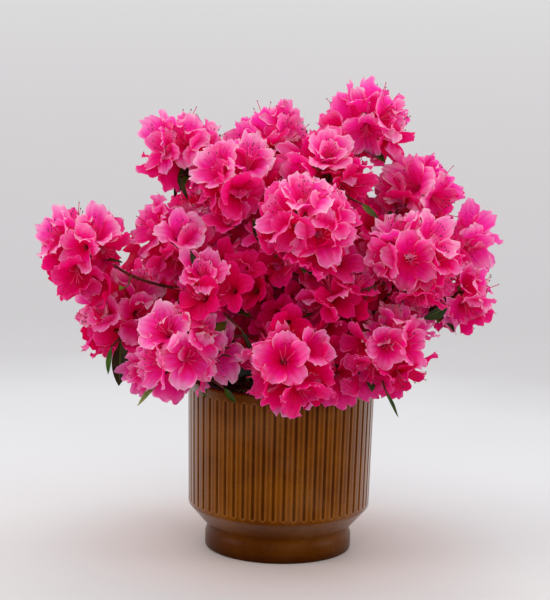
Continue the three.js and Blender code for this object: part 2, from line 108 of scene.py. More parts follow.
# The crown: each truss by bearing, reach, height and radius, the limb that its bough leaves and where,
# and how deep the tint of its blossoms is, from 0, palest, to 3, as deep as the shade tint: partly their
# own tone and partly painted shade for trusses that sit deep in the crown
CROWN = [
    ("top_middle", 135, 21, 327, 33, "trunk", 1.0, -0.6),
    ("top_right", 0, 64, 345, 36, "trunk", 0.96, 0.2),
    ("left", -156, 85, 256, 40, "trunk", 0.9, 0.5),
    ("inner_front", -106, 60, 238, 33, "trunk", 0.84, 2),
    ("back", 93, 122, 224, 45, "trunk", 0.88, 1),
    ("far_right", -4, 141, 210, 35, "trunk", 0.76, 0),
    ("back_left", 146, 124, 214, 44, "trunk", 0.78, 1),
    ("back_right", 44, 124, 222, 44, "trunk", 0.72, 1),
    ("low_front_left", -133, 116, 170, 39, "trunk", 0.66, -0.3),
    ("low_front_right", -44, 108, 181, 40, "trunk", 0.64, 1),
    ("far_left", -164, 158, 249, 37, "left", 0.35, 0.9),
    ("low_left", -172, 132, 187, 38, "left", 0.2, 0.4),
    ("top_left", 180, 91, 320, 34, "top_middle", 0.42, 0),
    ("upper_front_left", -134, 56, 301, 36, "top_middle", 0.55, 1.2),
    ("upper_back", 81, 71, 286, 40, "top_middle", 0.3, 1),
    ("top_front", -40, 52, 310, 37, "top_right", 0.55, 0.9),
    ("upper_right", -3, 103, 290, 36, "top_right", 0.4, 0),
    ("upper_front", -80, 98, 277, 40, "inner_front", 0.6, 0.4),
    ("low_front", -87, 106, 171, 37, "inner_front", 0.2, 1.7),
    ("inner_front_left", -124, 99, 219, 34, "low_front_left", 0.4, 2),
    ("inner_front_right", -60, 86, 218, 34, "low_front_right", 0.35, 2),
    ("front_right", -36, 120, 249, 41, "far_right", 0.4, 0),
    ("upper_far_right", 3, 143, 256, 33, "far_right", 0.6, 0.1),
    ("low_right", 25, 102, 168, 38, "far_right", 0.35, 1),
    ("upper_back_left", 134, 82, 274, 39, "back_left", 0.5, 1),
    ("low_back_left", 147, 116, 160, 40, "back_left", 0.3, 1),
    ("low_back", 106, 118, 152, 40, "back", 0.3, 1),
    ("low_back_right", 66, 118, 156, 40, "back_right", 0.3, 1),
]

# Finer growth that the source leaves to this script: smaller blossoms where the source's leave room
EXTRA = dict(buds=90, cover_angle=2.55, roll=1.2, apart=20.5, wall_slack=7.0, seed=900)
# Rounds in which they are fitted: reach and size
EXTRA_TRIES = [(0.92, 0.9), (0.8, 0.9), (0.66, 0.82)]
# Blossoms on stalks of their own, on a shell inside the crown, that close its view through
INNER = dict(
    count=1000, middle=(0, -5, 228), depths=(0.9, 0.8, 0.7, 0.6, 0.5, 0.4), apart=18, scale=0.88,
    wood_clear=9, cap=1.72, lowest=150, rim_clear=11, over_rim=168, lift=0.25, stalk=1.4, grown=(0.9, 0.2),
)
# The one bough that shows bare: the room that finer growth leaves round a stretch of it, the stretch that is
# kept in sight, and by what step, how often, a blossom before it is drawn aside
BARE_BOUGH = dict(name="far_left", clear=14, kept_free=(0.3, 0.92), shown=(0.55, 0.97), step=2.5, steps=5)

# How far the sprays of some trusses lean from the middle of their solid
LEANS = dict(
    top_left=(9, 0, 0), top_middle=(2, 0, 0), top_right=(-2, 0, -3), upper_right=(2, 0, -1),
    top_front=(-7, 0, -2), upper_far_right=(-2, 0, -8), far_right=(-5, 0, 0), left=(-1, 0, -3),
    far_left=(-4, 0, -5),
    low_front_left=(2, 0, 9), low_left=(4, 0, 3), back_left=(16, 0, -14), low_right=(-15, 0, 4),
)
# Gaps between the trusses: a point in each, and how near its line of sight a finer blossom may come
OPEN_GAPS = [
    ((-98, 0, 284), 24), ((-118, 0, 264), 22), ((-75, -60, 128), 26), ((160, 0, 168), 26),
    ((131, 0, 178), 24), ((-31, -60, 150), 25), ((67, -30, 316), 20), ((-81, 0, 291), 20),
]

# Blossoms placed one by one: the middle of the face, the way it looks, size and tint
PLACED_BLOSSOMS = [
    ((48, -92, 151), (0.3, -0.85, -0.35), 1.0, 0.7),
    ((69, -86, 156), (0.5, -0.7, -0.4), 0.95, 0),
    ((-41, -88, 179), (0.45, -0.85, 0.2), 0.95, 0.3),
    ((6, -112, 146), (0.0, -0.8, -0.5), 1.0, -0.6),
    ((-137, -28, 200), (-0.2, -0.9, 0.3), 1.0, 1),
    ((-126, -22, 213), (0.1, -0.8, 0.5), 0.95, 0),
    ((-112, -72, 152), (-0.5, -0.8, -0.25), 0.85, 0.3),
]
# Leaves seen past the blossoms: root, tip, share of the usual width, droop, tone and the way they face
PLACED_LEAVES = [
    ((-127, -52, 176), (-126, -57, 141), 1.05, 1.0, 3, (0.25, -1, 0)),
    ((-134, -50, 171), (-137, -52, 149), 0.6, 0.6, 1, (-0.5, -1, 0)),
    ((-93, -98, 158), (-110, -101, 136), 0.42, -3.4, 4, (-0.3, -1, 0.2)),
    ((-44, -94, 150), (-35, -98, 139), 0.95, 0.6, 1, (0.3, -1, 0.3)),
    ((129, -60, 212), (109, -66, 202), 1.2, 1.2, 0, (0.1, -1, -0.4)),
    ((-72, -86, 255), (-65, -89, 238), 0.75, 1.0, 3, (0.2, -1, -0.3)),
    ((-84, -25, 304), (-77, -28, 285), 0.55, 1.0, 3, (-0.4, -1, 0)),
    ((-31, -106, 198), (-22, -110, 180), 0.5, 1.2, 3, (0.3, -1, 0.2)),
    ((80, -96, 152), (91, -99, 131), 0.3, 3.0, 1, (0.5, -1, 0)),
    ((58, -68, 292), (71, -77, 282), 0.75, 0.6, 2, (0, -1, 0.6)),
    ((-25, -82, 280), (-19, -86, 262), 0.75, 1.0, 3, (0.2, -1, 0.3)),
]
# A bare forked twig, as runs of points, and its radius
PLACED_TWIGS = [
    [(50, -80, 222), (59, -85, 228), (67, -87, 230.5), (76, -85, 233)],
    [(66, -87, 230), (64, -88, 225), (62, -88, 219)],
    [(71, -86.5, 231.5), (70, -89, 227), (70, -90, 223)],
]
PLACED_TWIG_RADIUS = 0.9
PLACED_SEED = 31
# Leaves ringed under each truss: their number, stalk, length by the truss's radius, how far they may pass
# its walls, and how many of the tones they take
FOLIAGE = dict(whorl=6, stalk=6, longest=1.1, slack=4, seed=1300, tones=3)
# Their draws, like those of a truss's leaves, and how far down the stem they root
FOLIAGE_DRAWS = dict(turn=0.6, size=(0.7, 0.4), along=(0.25, -0.7), down_stem=(2, 5), hang=0.3)

# A petal's form, and the curve out of the tube's mouth that its middle follows
PETAL = dict(
    tube_foot=-19, foot_radius=0.5, mouth_radius=3, mouth=-14, half=0.588, cup=0.19, width=9.4,
    free_from=0.32, free_at=0.54, fullest=0.68, lobe_centre=14, lobe_reach=8.5, ruffle=1.5, pleat=0.62,
    crease=1.3, bent_from=0.45,
)
BELL = ((3, -14), (4.8, -7.5), (11.5, -2.6), (23, -1.2))
# The upper lobe stands up a little and the two lower ones hang
STANCE = (0.08, 0, -0.09, -0.09, 0)
# Columns and rows of a petal's points, for the source's blossoms, finer ones, those inside, and the second
# ring of a double
PETAL_POINTS = dict(main=(13, 15), extra=(7, 9), inner=(6, 8), double=(11, 10))
# How much deeper the tint of the finer blossoms is: painted shade, as they sit deeper in the crown
PAINTED_SHADE_BY_KIND = dict(main=0, extra=0.5, inner=1.4)
# How single petals differ: how far each measure spreads, and its middle
PETAL_VARIES = dict(
    swing=(0.36, 0), length=(0.26, 0.99), width=(0.36, 0.97), skew=(0.24, 0), tilt=(0.4, 0.16),
    turn=(0.12, 0),
)
# The least of the other measures, and how much more they may be
PETAL_DRAWS = dict(
    fold=(-0.2, 0.5), curl=(-5.5, 8.5), ruffle=(0.6, 0.8), waves=(3.8, 2.4), point=(0.34, 0.24),
)
# How far a blossom may nod, how much the outer ones are grown, how far they are drawn in to keep their
# reach, and how rare doubles are
DRESS = dict(nod=0.5, grown=1.1, sunk=3, double=0.92, seed=1700)
# Stamens of a blossom: how few and how many more, how far they lean and reach at least and beyond that, the
# radii of a filament, an anther's length and radius, and the same for the style and its stigma
STAMENS = dict(
    count=(4, 4), lean=(3, 4.5), reach=(0.5, 5.8), filament=(0.34, 0.24), anther=(1.8, 0.5),
    style_aim=(3, 9.5), style=(0.42, 0.34), stigma=(1.0, 0.6),
)
# A blossom's stalk and the green cup at its foot
STALK_RADII = (0.95, 0.85, 0.8, 0.8, 0.9)
CUP = dict(along=(-0.8, 0.4, 1.8, 3.2), radii=(0.6, 1.5, 2.2, 2.7), sides=8)
PETAL_PIECES = 5
PETAL_SEED = 2000
LEAF_SEED = 77
# Where a sheet starts and ends in its square on the bake map, as shares of the square
BAKE_MARGINS = (0.06, 0.94)

# Faces round a limb, millimetres from ring to ring, how coarse its bark is, how much it widens at its foot,
# and its radius as a share of the solid's
TRUNK_MESH = dict(sides=28, step=1.4, coarse=1.6, collar=0, share=1)
BOUGH_MESH = dict(sides=10, step=2.4, coarse=1.0, collar=0.35, share=0.72)
# Millimetres over which a bough's widened foot fades
COLLAR_REACH = 6
# The compost's crumbly top, its loose lumps, and the pale fibres that lie in it
CRUMBS = dict(rings=46, columns=150, height=0.42, lumps=620, seed=11)
FIBRES = dict(count=90, length=14, radius=0.3)

CAMERA = dict(place=(0, -2110.7, 604.4), focal=2687, yaw=-0.0032, pitch=0.1884, roll=0.0241, long_side=600)
EYE = np.array(CAMERA["place"], float)


# Vectors and curves

def unit(v):
    return v / np.linalg.norm(v)


def at_bearing(turn, reach, height):
    return np.array([math.cos(turn) * reach, math.sin(turn) * reach, height])


def nearest(spots, point):
    return spots[int(np.argmin(np.linalg.norm(spots - point, axis=1)))]


def near_any(spots, point, reach):
    return bool((np.linalg.norm(np.asarray(spots) - point, axis=1) < reach).any())


def seeded(seed):
    """A repeatable run of numbers from 0 to 1, the same as the source's."""
    state = seed

    def draw():
        nonlocal state
        state = (state * 1664525 + 1013904223) % 2**32
        return state / 2**32

    return draw


def vary(random, spread, middle=0):
    """A draw spread evenly round a middle."""
    return middle + (random() - 0.5) * spread


def pick(random, least, more):
    """A draw from the least up to so much more."""
    return least + more * random()


def cross_frame(axis):
    """Two directions square to an axis: one level, one as near upright as it can be."""
    reference = np.array([1.0, 0, 0]) if abs(axis[2]) > 0.95 else UP
    right = unit(np.cross(reference, axis))
    return right, np.cross(axis, right)


class Bezier:
    """A cubic curve through its first and last points."""

    def __init__(self, *points):
        self.points = np.array(points, float)

    def at(self, t):
        t = np.asarray(t, float)
        s = 1 - t
        weights = np.stack([s**3, 3 * s * s * t, 3 * s * t * t, t**3], axis=-1)
        return weights @ self.points

    def tangent(self, t):
        return unit(self.at(min(1, t + 1e-4)) - self.at(max(0, t - 1e-4)))

    def length(self):
        return np.linalg.norm(np.diff(self.at(np.linspace(0, 1, 201)), axis=0), axis=1).sum()


def straight(start, end, count):
    t = np.linspace(0, 1, count)[:, None]
    return start * (1 - t) + end * t


def smooth(low, high, x):
    t = np.clip((x - low) / (high - low), 0, 1)
    return t * t * (3 - 2 * t)


# The source's rule, written again

def trunk_limb():
    foot, top, lean = TRUNK["foot"], TRUNK["top"], TRUNK["lean"]
    rise = top - foot
    curve = Bezier(
        (0, 0, foot), (0, 0, foot + rise * 0.35), (*lean, foot + rise * 0.7), (*lean, top),
    )
    flare, middle, tip = TRUNK["flare_radius"], TRUNK["radius"], TRUNK["tip_radius"]

    def radius(t):
        return (flare - middle) * math.exp(-t * TRUNK["flare_fade"]) + middle + (tip - middle) * t

    return dict(curve=curve, radius=radius)


def place_truss(row, limbs):
    name, bearing, reach, height, size, parent, at, tint = row
    turn = math.radians(bearing)
    centre = at_bearing(turn, reach, height)
    outward = unit(centre - limbs[parent]["curve"].at(at))
    axis = unit(outward + UP * BOUGH["rise"] * (1 - abs(outward[2])))
    entry = centre - axis * TRUSS["entry"] * size
    return dict(
        name=name, turn=turn, size=size, parent=parent, at=at, tint=tint,
        centre=centre, axis=axis, entry=entry,
    )


def bough_limb(truss, limbs):
    parent, at, entry = limbs[truss["parent"]], truss["at"], truss["entry"]
    start = parent["curve"].at(at)
    span = np.linalg.norm(entry - start)
    leave = unit(unit(entry - start) + parent["curve"].tangent(at) * BOUGH["follow"])
    arrive = entry - truss["axis"] * span * BOUGH["arrive"]
    curve = Bezier(start, start + leave * span * BOUGH["arch"], arrive, entry)
    full = BOUGH["tip"] + (BOUGH["thickest"] - BOUGH["tip"]) * min(1, span / BOUGH["taper_length"])
    base = min(full, parent["radius"](at) * BOUGH["of_parent"])
    return dict(curve=curve, radius=lambda t: base + (BOUGH["tip"] - base) * t)


def limb_samples(limb):
    count = math.ceil(limb["curve"].length() / LIMB_SAMPLE)
    steps = [i / count for i in range(count + 1)]
    return [(limb["curve"].at(t), limb["radius"](t)) for t in steps]


def truss_cell(truss, trusses):
    """Flat walls between a truss and its neighbours, and one that keeps it off the planter's rim."""
    normals, limits = [], []
    for other in trusses:
        if other is truss:
            continue
        away = other["centre"] - truss["centre"]
        distance = np.linalg.norm(away)
        share = (distance**2 + truss["size"]**2 - other["size"]**2) / (2 * distance)
        normals.append(away / distance)
        limits.append(normals[-1] @ truss["centre"] + share - CELL_GAP)
    rim = -unit(at_bearing(truss["turn"], 1, 1))
    normals.append(rim)
    limits.append(rim @ at_bearing(truss["turn"], PLANTER["radius"], PLANTER["height"]) - RIM_GAP)
    return np.array(normals), np.array(limits)


def inside_cell(points, cell, slack=0):
    """True if the points keep within their truss's walls. The rim's wall gives no slack."""
    normals, limits = cell
    room = limits + slack
    room[-1] = limits[-1]
    return bool((points @ normals.T <= room).all())


def blossom_points(flower):
    b = BLOSSOM
    root, axis, length, scale = flower["root"], flower["axis"], flower["length"], flower["scale"]
    right, over = cross_frame(axis)

    def ring(index, count, radius, along):
        turn = index / count * TAU + flower["roll"]
        return root + axis * along + over * math.cos(turn) * radius - right * math.sin(turn) * radius

    points = [root]
    points += [ring(i, 3, b["tube_radius"] * scale, length - b["tube"] * scale) for i in range(3)]
    for i in range(10):
        spread, drop = ("spread", "lobe_drop") if i % 2 == 0 else ("notch_spread", "notch_drop")
        points.append(ring(i, 10, b[spread] * scale, length - b[drop] * scale))
    points.append(root + axis * (length - b["throat"] * scale))
    return np.array(points)


def blossom_touches(flower, wood):
    """True where a limb would run through the cone that a blossom fills."""
    spots, radii = wood
    scale, length = flower["scale"], flower["length"]
    neck = length - BLOSSOM["tube"] * scale
    rim = length - BLOSSOM["lobe_drop"] * scale
    away = spots - flower["root"]
    along = away @ flower["axis"]
    off = np.sqrt(np.maximum(0, (away**2).sum(1) - along**2))
    room = radii + LIMB_SPACE
    flare = np.clip((along - neck) / (rim - neck), 0, 1)
    neck_radius = BLOSSOM["tube_radius"] * scale * np.clip(along / neck, 0, 1)
    near = off < neck_radius + (BLOSSOM["spread"] * scale - neck_radius) * flare + room
    return bool((near & (along >= -room) & (along <= rim + room)).any())


def blossom_fits(flower, truss, wood, slack=0):
    """True if a blossom keeps within its truss's walls and clear of the limbs."""
    return inside_cell(blossom_points(flower), truss["cell"], slack) and not blossom_touches(flower, wood)


def leaf_points(leaf):
    right, over = cross_frame(leaf["axis"])
    rows = [
        (0, 0, 0), (LEAF["length"], 0, -2 * LEAF["fold"]),
        (LEAF["length"] * 0.55, LEAF["width"] / 2, LEAF["fold"]),
        (LEAF["length"] * 0.55, -LEAF["width"] / 2, LEAF["fold"]),
        (LEAF["length"] * 0.5, 0, LEAF["thickness"]), (LEAF["length"] * 0.5, 0, -LEAF["thickness"]),
    ]
    frame_of_leaf = np.array([leaf["axis"], right, over])
    return leaf["root"] + np.array(rows) @ frame_of_leaf * leaf["scale"]


def leaf_touches(leaf, wood):
    spots, radii = wood
    room = radii + (LEAF["width"] / 2 * leaf["scale"] + LIMB_SPACE)
    rib = leaf["axis"] * LEAF["length"] * leaf["scale"]
    return any(near_any(spots, leaf["root"] + rib * t, room) for t in (0.15, 0.3, 0.45, 0.6, 0.75, 0.9))


def cap_direction(axis, index, count, spin, random, cover=TRUSS["cover_angle"]):
    """Even directions over the cap round an axis, each shifted a little."""
    right, over = cross_frame(axis)
    reach = 1 - math.cos(cover)
    polar = math.acos(1 - (index + 0.5) / count * reach) + vary(random, SHIFT["polar"])
    turn = index * GOLDEN_TURN + spin + vary(random, SHIFT["turn"])
    return axis * math.cos(polar) + (right * math.cos(turn) + over * math.sin(turn)) * math.sin(polar)


def draw_buds(axis, count, random, roll, cover=TRUSS["cover_angle"]):
    """Directions for blossoms, with how far each has grown and how far it is rolled."""
    spin = random() * TAU
    buds = []
    for i in range(count):
        direction = cap_direction(axis, i, count, spin, random, cover)
        grown = pick(random, *TRUSS["grown"])
        buds.append((direction, grown, vary(random, roll)))
    return buds


def flower_toward(truss, twigs, direction, reach, scale, roll):
    """A blossom on the nearest twig, facing the spot at that reach from the truss's centre."""
    width = BLOSSOM["spread"] * scale
    twig = max(twigs, key=lambda one: one["direction"] @ direction)
    depth = math.sqrt((truss["size"] * reach)**2 - min(width, truss["size"] * reach)**2)
    root = twig["end"] - direction * TRUSS["root_depth"]
    face = truss["centre"] + direction * (depth + BLOSSOM["lobe_drop"] * scale) - root
    length = np.linalg.norm(face)
    return dict(
        root=root, axis=face / length, length=length, scale=scale, roll=roll, direction=direction,
        tint=truss["tint"],
    )


def roomy(flower):
    return flower["length"] > (BLOSSOM["tube"] + 3) * flower["scale"]


def grow_truss(truss, seed):
    """Twigs, then the blossoms and leaves that have room, exactly as the source grows them."""
    random = seeded(seed)
    centre, axis, size = truss["centre"], truss["axis"], truss["size"]
    hub = centre - axis * TRUSS["hub"] * size
    spin = random() * TAU
    twigs = []
    for i in range(TRUSS["twigs"]):
        direction = cap_direction(axis, i, TRUSS["twigs"], spin, random)
        twigs.append(dict(direction=direction, end=centre + direction * TRUSS["twig_reach"] * size))
    buds = draw_buds(axis, TRUSS["buds"], random, TRUSS["roll"])
    flowers = []
    for reach, scale, closeness in FIT_TRIES:
        for direction, grown, roll in buds:
            width = BLOSSOM["spread"] * grown * scale
            gap = TRUSS["spacing"] * closeness * math.asin(min(1, width / (size * reach)))
            if any(math.acos(np.clip(one["direction"] @ direction, -1, 1)) < gap for one in flowers):
                continue
            flower = flower_toward(truss, twigs, direction, reach, grown * scale, roll)
            if roomy(flower) and blossom_fits(flower, truss, truss["wood"]):
                flowers.append(flower)
    leaves = []
    right, over = cross_frame(axis)
    for i in range(TRUSS["leaves"]):
        turn = i / TRUSS["leaves"] * TAU + random() * TRUSS_LEAVES["turn"]
        scale = pick(random, *TRUSS_LEAVES["size"])
        direction = axis * pick(random, *TRUSS_LEAVES["along"])
        direction = direction + right * math.cos(turn) + over * math.sin(turn)
        direction = direction - UP * TRUSS_LEAVES["hang"] * random()
        scale = min(scale, size * TRUSS["leaf_reach"] / LEAF["length"])
        leaf = dict(root=hub, axis=unit(direction), scale=scale)
        if inside_cell(leaf_points(leaf), truss["cell"]) and not leaf_touches(leaf, truss["wood"]):
            leaves.append(leaf)
    return dict(hub=hub, twigs=twigs, flowers=flowers, leaves=leaves)


# Growth carried on to finer sprays

def flower_face(flower):
    return flower["root"] + flower["axis"] * (flower["length"] - BLOSSOM["notch_drop"] * flower["scale"])


def fill_truss(truss, wood, faces, seed):
    """Smaller blossoms in the gaps that the source's leave, each with room round it."""
    growth = truss["growth"]
    buds = draw_buds(truss["axis"], EXTRA["buds"], seeded(seed), EXTRA["roll"], EXTRA["cover_angle"])
    for reach, scale in EXTRA_TRIES:
        for direction, grown, roll in buds:
            flower = flower_toward(truss, growth["twigs"], direction, reach, grown * scale, roll)
            face = flower_face(flower)
            crowded = near_any(faces, face, EXTRA["apart"] * grown * scale)
            if crowded or not roomy(flower) or in_open_gap(face):
                continue
            if blossom_fits(flower, truss, wood, EXTRA["wall_slack"]):
                faces.append(face)
                growth["flowers"].append(dict(flower, kind="extra"))


def far_side(start, way, trusses):
    """How far from start the crown reaches along a direction."""
    reach = 0
    for truss in trusses:
        away = truss["centre"] - start
        along = away @ way
        off = away @ away - along**2
        if off < truss["size"]**2:
            reach = max(reach, along + math.sqrt(truss["size"]**2 - off))
    return reach


def stalked_flower(face, axis, scale, **rest):
    """A blossom with its face at a point, on a stalk of its own."""
    length = -PETAL["tube_foot"] * scale + 1
    return dict(root=face - axis * length, axis=axis, length=length, scale=scale, **rest)


def fill_crown(trusses, wood, faces):
    """Blossoms in the hollows between the trusses, each on a stalk from the nearest limb."""
    spots, radii = wood
    random = seeded(INNER["count"])
    middle = np.array(INNER["middle"], float)
    found = []
    for i in range(INNER["count"]):
        z = 1 - (i + 0.5) / INNER["count"] * INNER["cap"]
        way = at_bearing(i * GOLDEN_TURN, math.sqrt(1 - z * z), z)
        reach = far_side(middle, way, trusses)
        scale = INNER["scale"] * pick(random, *INNER["grown"])
        roll = random() * TAU
        for depth in INNER["depths"]:
            face = middle + way * reach * depth
            beyond_rim = math.hypot(face[0], face[1]) > PLANTER["radius"] + INNER["rim_clear"]
            rim_clear = beyond_rim or face[2] > INNER["over_rim"]
            if reach == 0 or face[2] < INNER["lowest"] or not rim_clear or in_open_gap(face):
                continue
            crowded = near_any(faces, face, INNER["apart"] * scale / INNER["scale"])
            if crowded or near_any(spots, face, radii + INNER["wood_clear"]):
                continue
            axis = unit(way + UP * INNER["lift"])
            flower = stalked_flower(face, axis, scale, roll=roll, direction=way, tint=1, kind="inner")
            flower["stalk_from"] = nearest(spots, face - way * flower["length"] * INNER["stalk"])
            faces.append(face)
            found.append(flower)
            break
    return found


def lean_truss(truss):
    lean = np.array(LEANS.get(truss["name"], (0, 0, 0)), float)
    growth = truss["growth"]
    growth["hub"] = growth["hub"] + lean
    for twig in growth["twigs"]:
        twig["end"] = twig["end"] + lean
    for part in growth["flowers"] + growth["leaves"]:
        part["root"] = part["root"] + lean


def in_open_gap(face):
    away = face - EYE
    for point, clear in OPEN_GAPS:
        sight = unit(np.array(point, float) - EYE)
        if np.linalg.norm(away - sight * (away @ sight)) < clear:
            return True
    return False


def hides(flower, points):
    """True if the blossom's open face stands between the camera and one of the points."""
    facing = flower["facing"]
    face = flower["foot"] - facing * PETAL["tube_foot"] * flower["scale"]
    for point in points:
        sight = point - EYE
        share = (face - EYE) @ facing / (sight @ facing)
        hit = EYE + sight * share
        if share < 1 and np.linalg.norm(hit - face) < BLOSSOM["spread"] * flower["scale"]:
            return True
    return False


def show_bare_bough(trusses, limbs):
    """Draws the blossoms before the bare bough aside, and leaves out those that still hide it."""
    points = limbs[BARE_BOUGH["name"]]["curve"].at(np.linspace(*BARE_BOUGH["shown"], 15))
    for truss in trusses:
        kept = []
        for flower in truss["growth"]["flowers"]:
            aside = UP if flower["foot"][2] > points[:, 2].min() else -UP
            for _ in range(BARE_BOUGH["steps"]):
                if not hides(flower, points):
                    kept.append(flower)
                    break
                flower["foot"] = flower["foot"] + aside * BARE_BOUGH["step"]
        truss["growth"]["flowers"] = kept


def placed_flowers(spots):
    """The blossoms placed one by one, each on a stalk from the nearest limb."""
    random = seeded(PLACED_SEED)
    found = []
    for face, looks, scale, tint in PLACED_BLOSSOMS:
        axis = unit(np.array(looks, float))
        flower = stalked_flower(np.array(face, float), axis, scale, direction=axis, tint=tint)
        found.append(dict(flower, roll=vary(random, 0.8), stalk_from=nearest(spots, flower["root"])))
    return found


def whorl(truss, seed):
    """Leaves ringed round the stem, under the blossoms."""
    random, draws = seeded(seed), FOLIAGE_DRAWS
    growth, axis = truss["growth"], truss["axis"]
    right, over = cross_frame(axis)
    for i in range(FOLIAGE["whorl"]):
        turn = (i + draws["turn"] * random()) / FOLIAGE["whorl"] * TAU
        longest = truss["size"] * FOLIAGE["longest"] / LEAF["length"]
        scale = min(pick(random, *draws["size"]), longest)
        direction = axis * pick(random, *draws["along"]) + right * math.cos(turn) + over * math.sin(turn)
        root = growth["hub"] - axis * pick(random, *draws["down_stem"])
        leaf = dict(root=root, axis=unit(direction - UP * draws["hang"] * random()), scale=scale)
        blade = dict(leaf, root=root + leaf["axis"] * FOLIAGE["stalk"])
        inside = inside_cell(leaf_points(leaf), truss["cell"], FOLIAGE["slack"])
        if inside and not leaf_touches(blade, truss["wood"]):
            growth["leaves"].append(leaf)


# Meshes

def new_object(name, data):
    made = bpy.data.objects.new(name, data)
    bpy.context.scene.collection.objects.link(made)
    return made


def grid_map(columns, rows, across, along):
    """A place on a map for each point of a grid."""
    spread = np.meshgrid(np.linspace(*across, columns), np.linspace(*along, rows))
    return np.stack(spread, axis=-1).reshape(-1, 2)


class Sheets:
    """Gathers grids of points into one piece. Each grid gets its own square on the bake map."""

    def __init__(self):
        self.grids = []

    def add(self, grid, tone=0, across=(0, 1)):
        self.grids.append((grid, tone, across))

    def piece(self, name, materials, slot, replaced=()):
        """A piece that rides on the part's one body, its points turned from millimetres into metres."""
        side = math.ceil(math.sqrt(len(self.grids)))
        quads, tones, shown, baked = [], [], [], []
        start = 0
        for index, (grid, tone, across) in enumerate(self.grids):
            rows, columns = grid.shape[:2]
            corner = (np.arange(rows - 1)[:, None] * columns + np.arange(columns - 1) + start).reshape(-1)
            quads.append(np.stack([corner, corner + 1, corner + columns + 1, corner + columns], axis=1))
            tones.append(np.full(len(corner), tone, np.int32))
            shown.append(grid_map(columns, rows, across, (0, 1)))
            island = grid_map(columns, rows, BAKE_MARGINS, BAKE_MARGINS)
            baked.append((island + (index % side, index // side)) / side)
            start += rows * columns
        points = np.concatenate([grid.reshape(-1, 3) for grid, _, _ in self.grids])
        corners = np.concatenate(quads).reshape(-1).astype(np.int32)
        count = len(corners) // 4
        mesh = bpy.data.meshes.new(name)
        mesh.vertices.add(len(points))
        mesh.vertices.foreach_set("co", (points * MM).astype(np.float32).reshape(-1))
        mesh.loops.add(len(corners))
        mesh.loops.foreach_set("vertex_index", corners)
        mesh.polygons.add(count)
        mesh.polygons.foreach_set("loop_start", np.arange(0, len(corners), 4, dtype=np.int32))
        for material in materials:
            mesh.materials.append(material)
        mesh.polygons.foreach_set("material_index", np.concatenate(tones))
        for map_name, places in (("Face", shown), ("OFBake", baked)):
            layer = mesh.uv_layers.new(name=map_name)
            layer.data.foreach_set("uv", np.concatenate(places)[corners].astype(np.float32).reshape(-1))
        mesh.polygons.foreach_set("use_smooth", np.full(count, True))
        mesh.update()
        mesh.validate()
        piece = new_object(name, mesh)
        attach(piece, "root")
        if replaced:
            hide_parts(*replaced)
        return piece


def tube_grid(points, radii, sides, relief=None):
    """A round tube along a run of points, its seam doubled. relief gives each point's share of the radius."""
    points = np.asarray(points, float)
    ways = np.gradient(points, axis=0)
    ways /= np.linalg.norm(ways, axis=1, keepdims=True)
    right, _ = cross_frame(ways[0])
    rings = []
    turn = np.linspace(0, TAU, sides + 1)
    for i, (point, way) in enumerate(zip(points, ways)):
        right = unit(right - way * (right @ way))
        over = np.cross(way, right)
        share = np.ones(sides + 1) if relief is None else relief(i, turn)
        ring = np.cos(turn)[:, None] * right + np.sin(turn)[:, None] * over
        rings.append(point + ring * (radii[i] * share)[:, None])
    return np.array(rings)


# Blossom

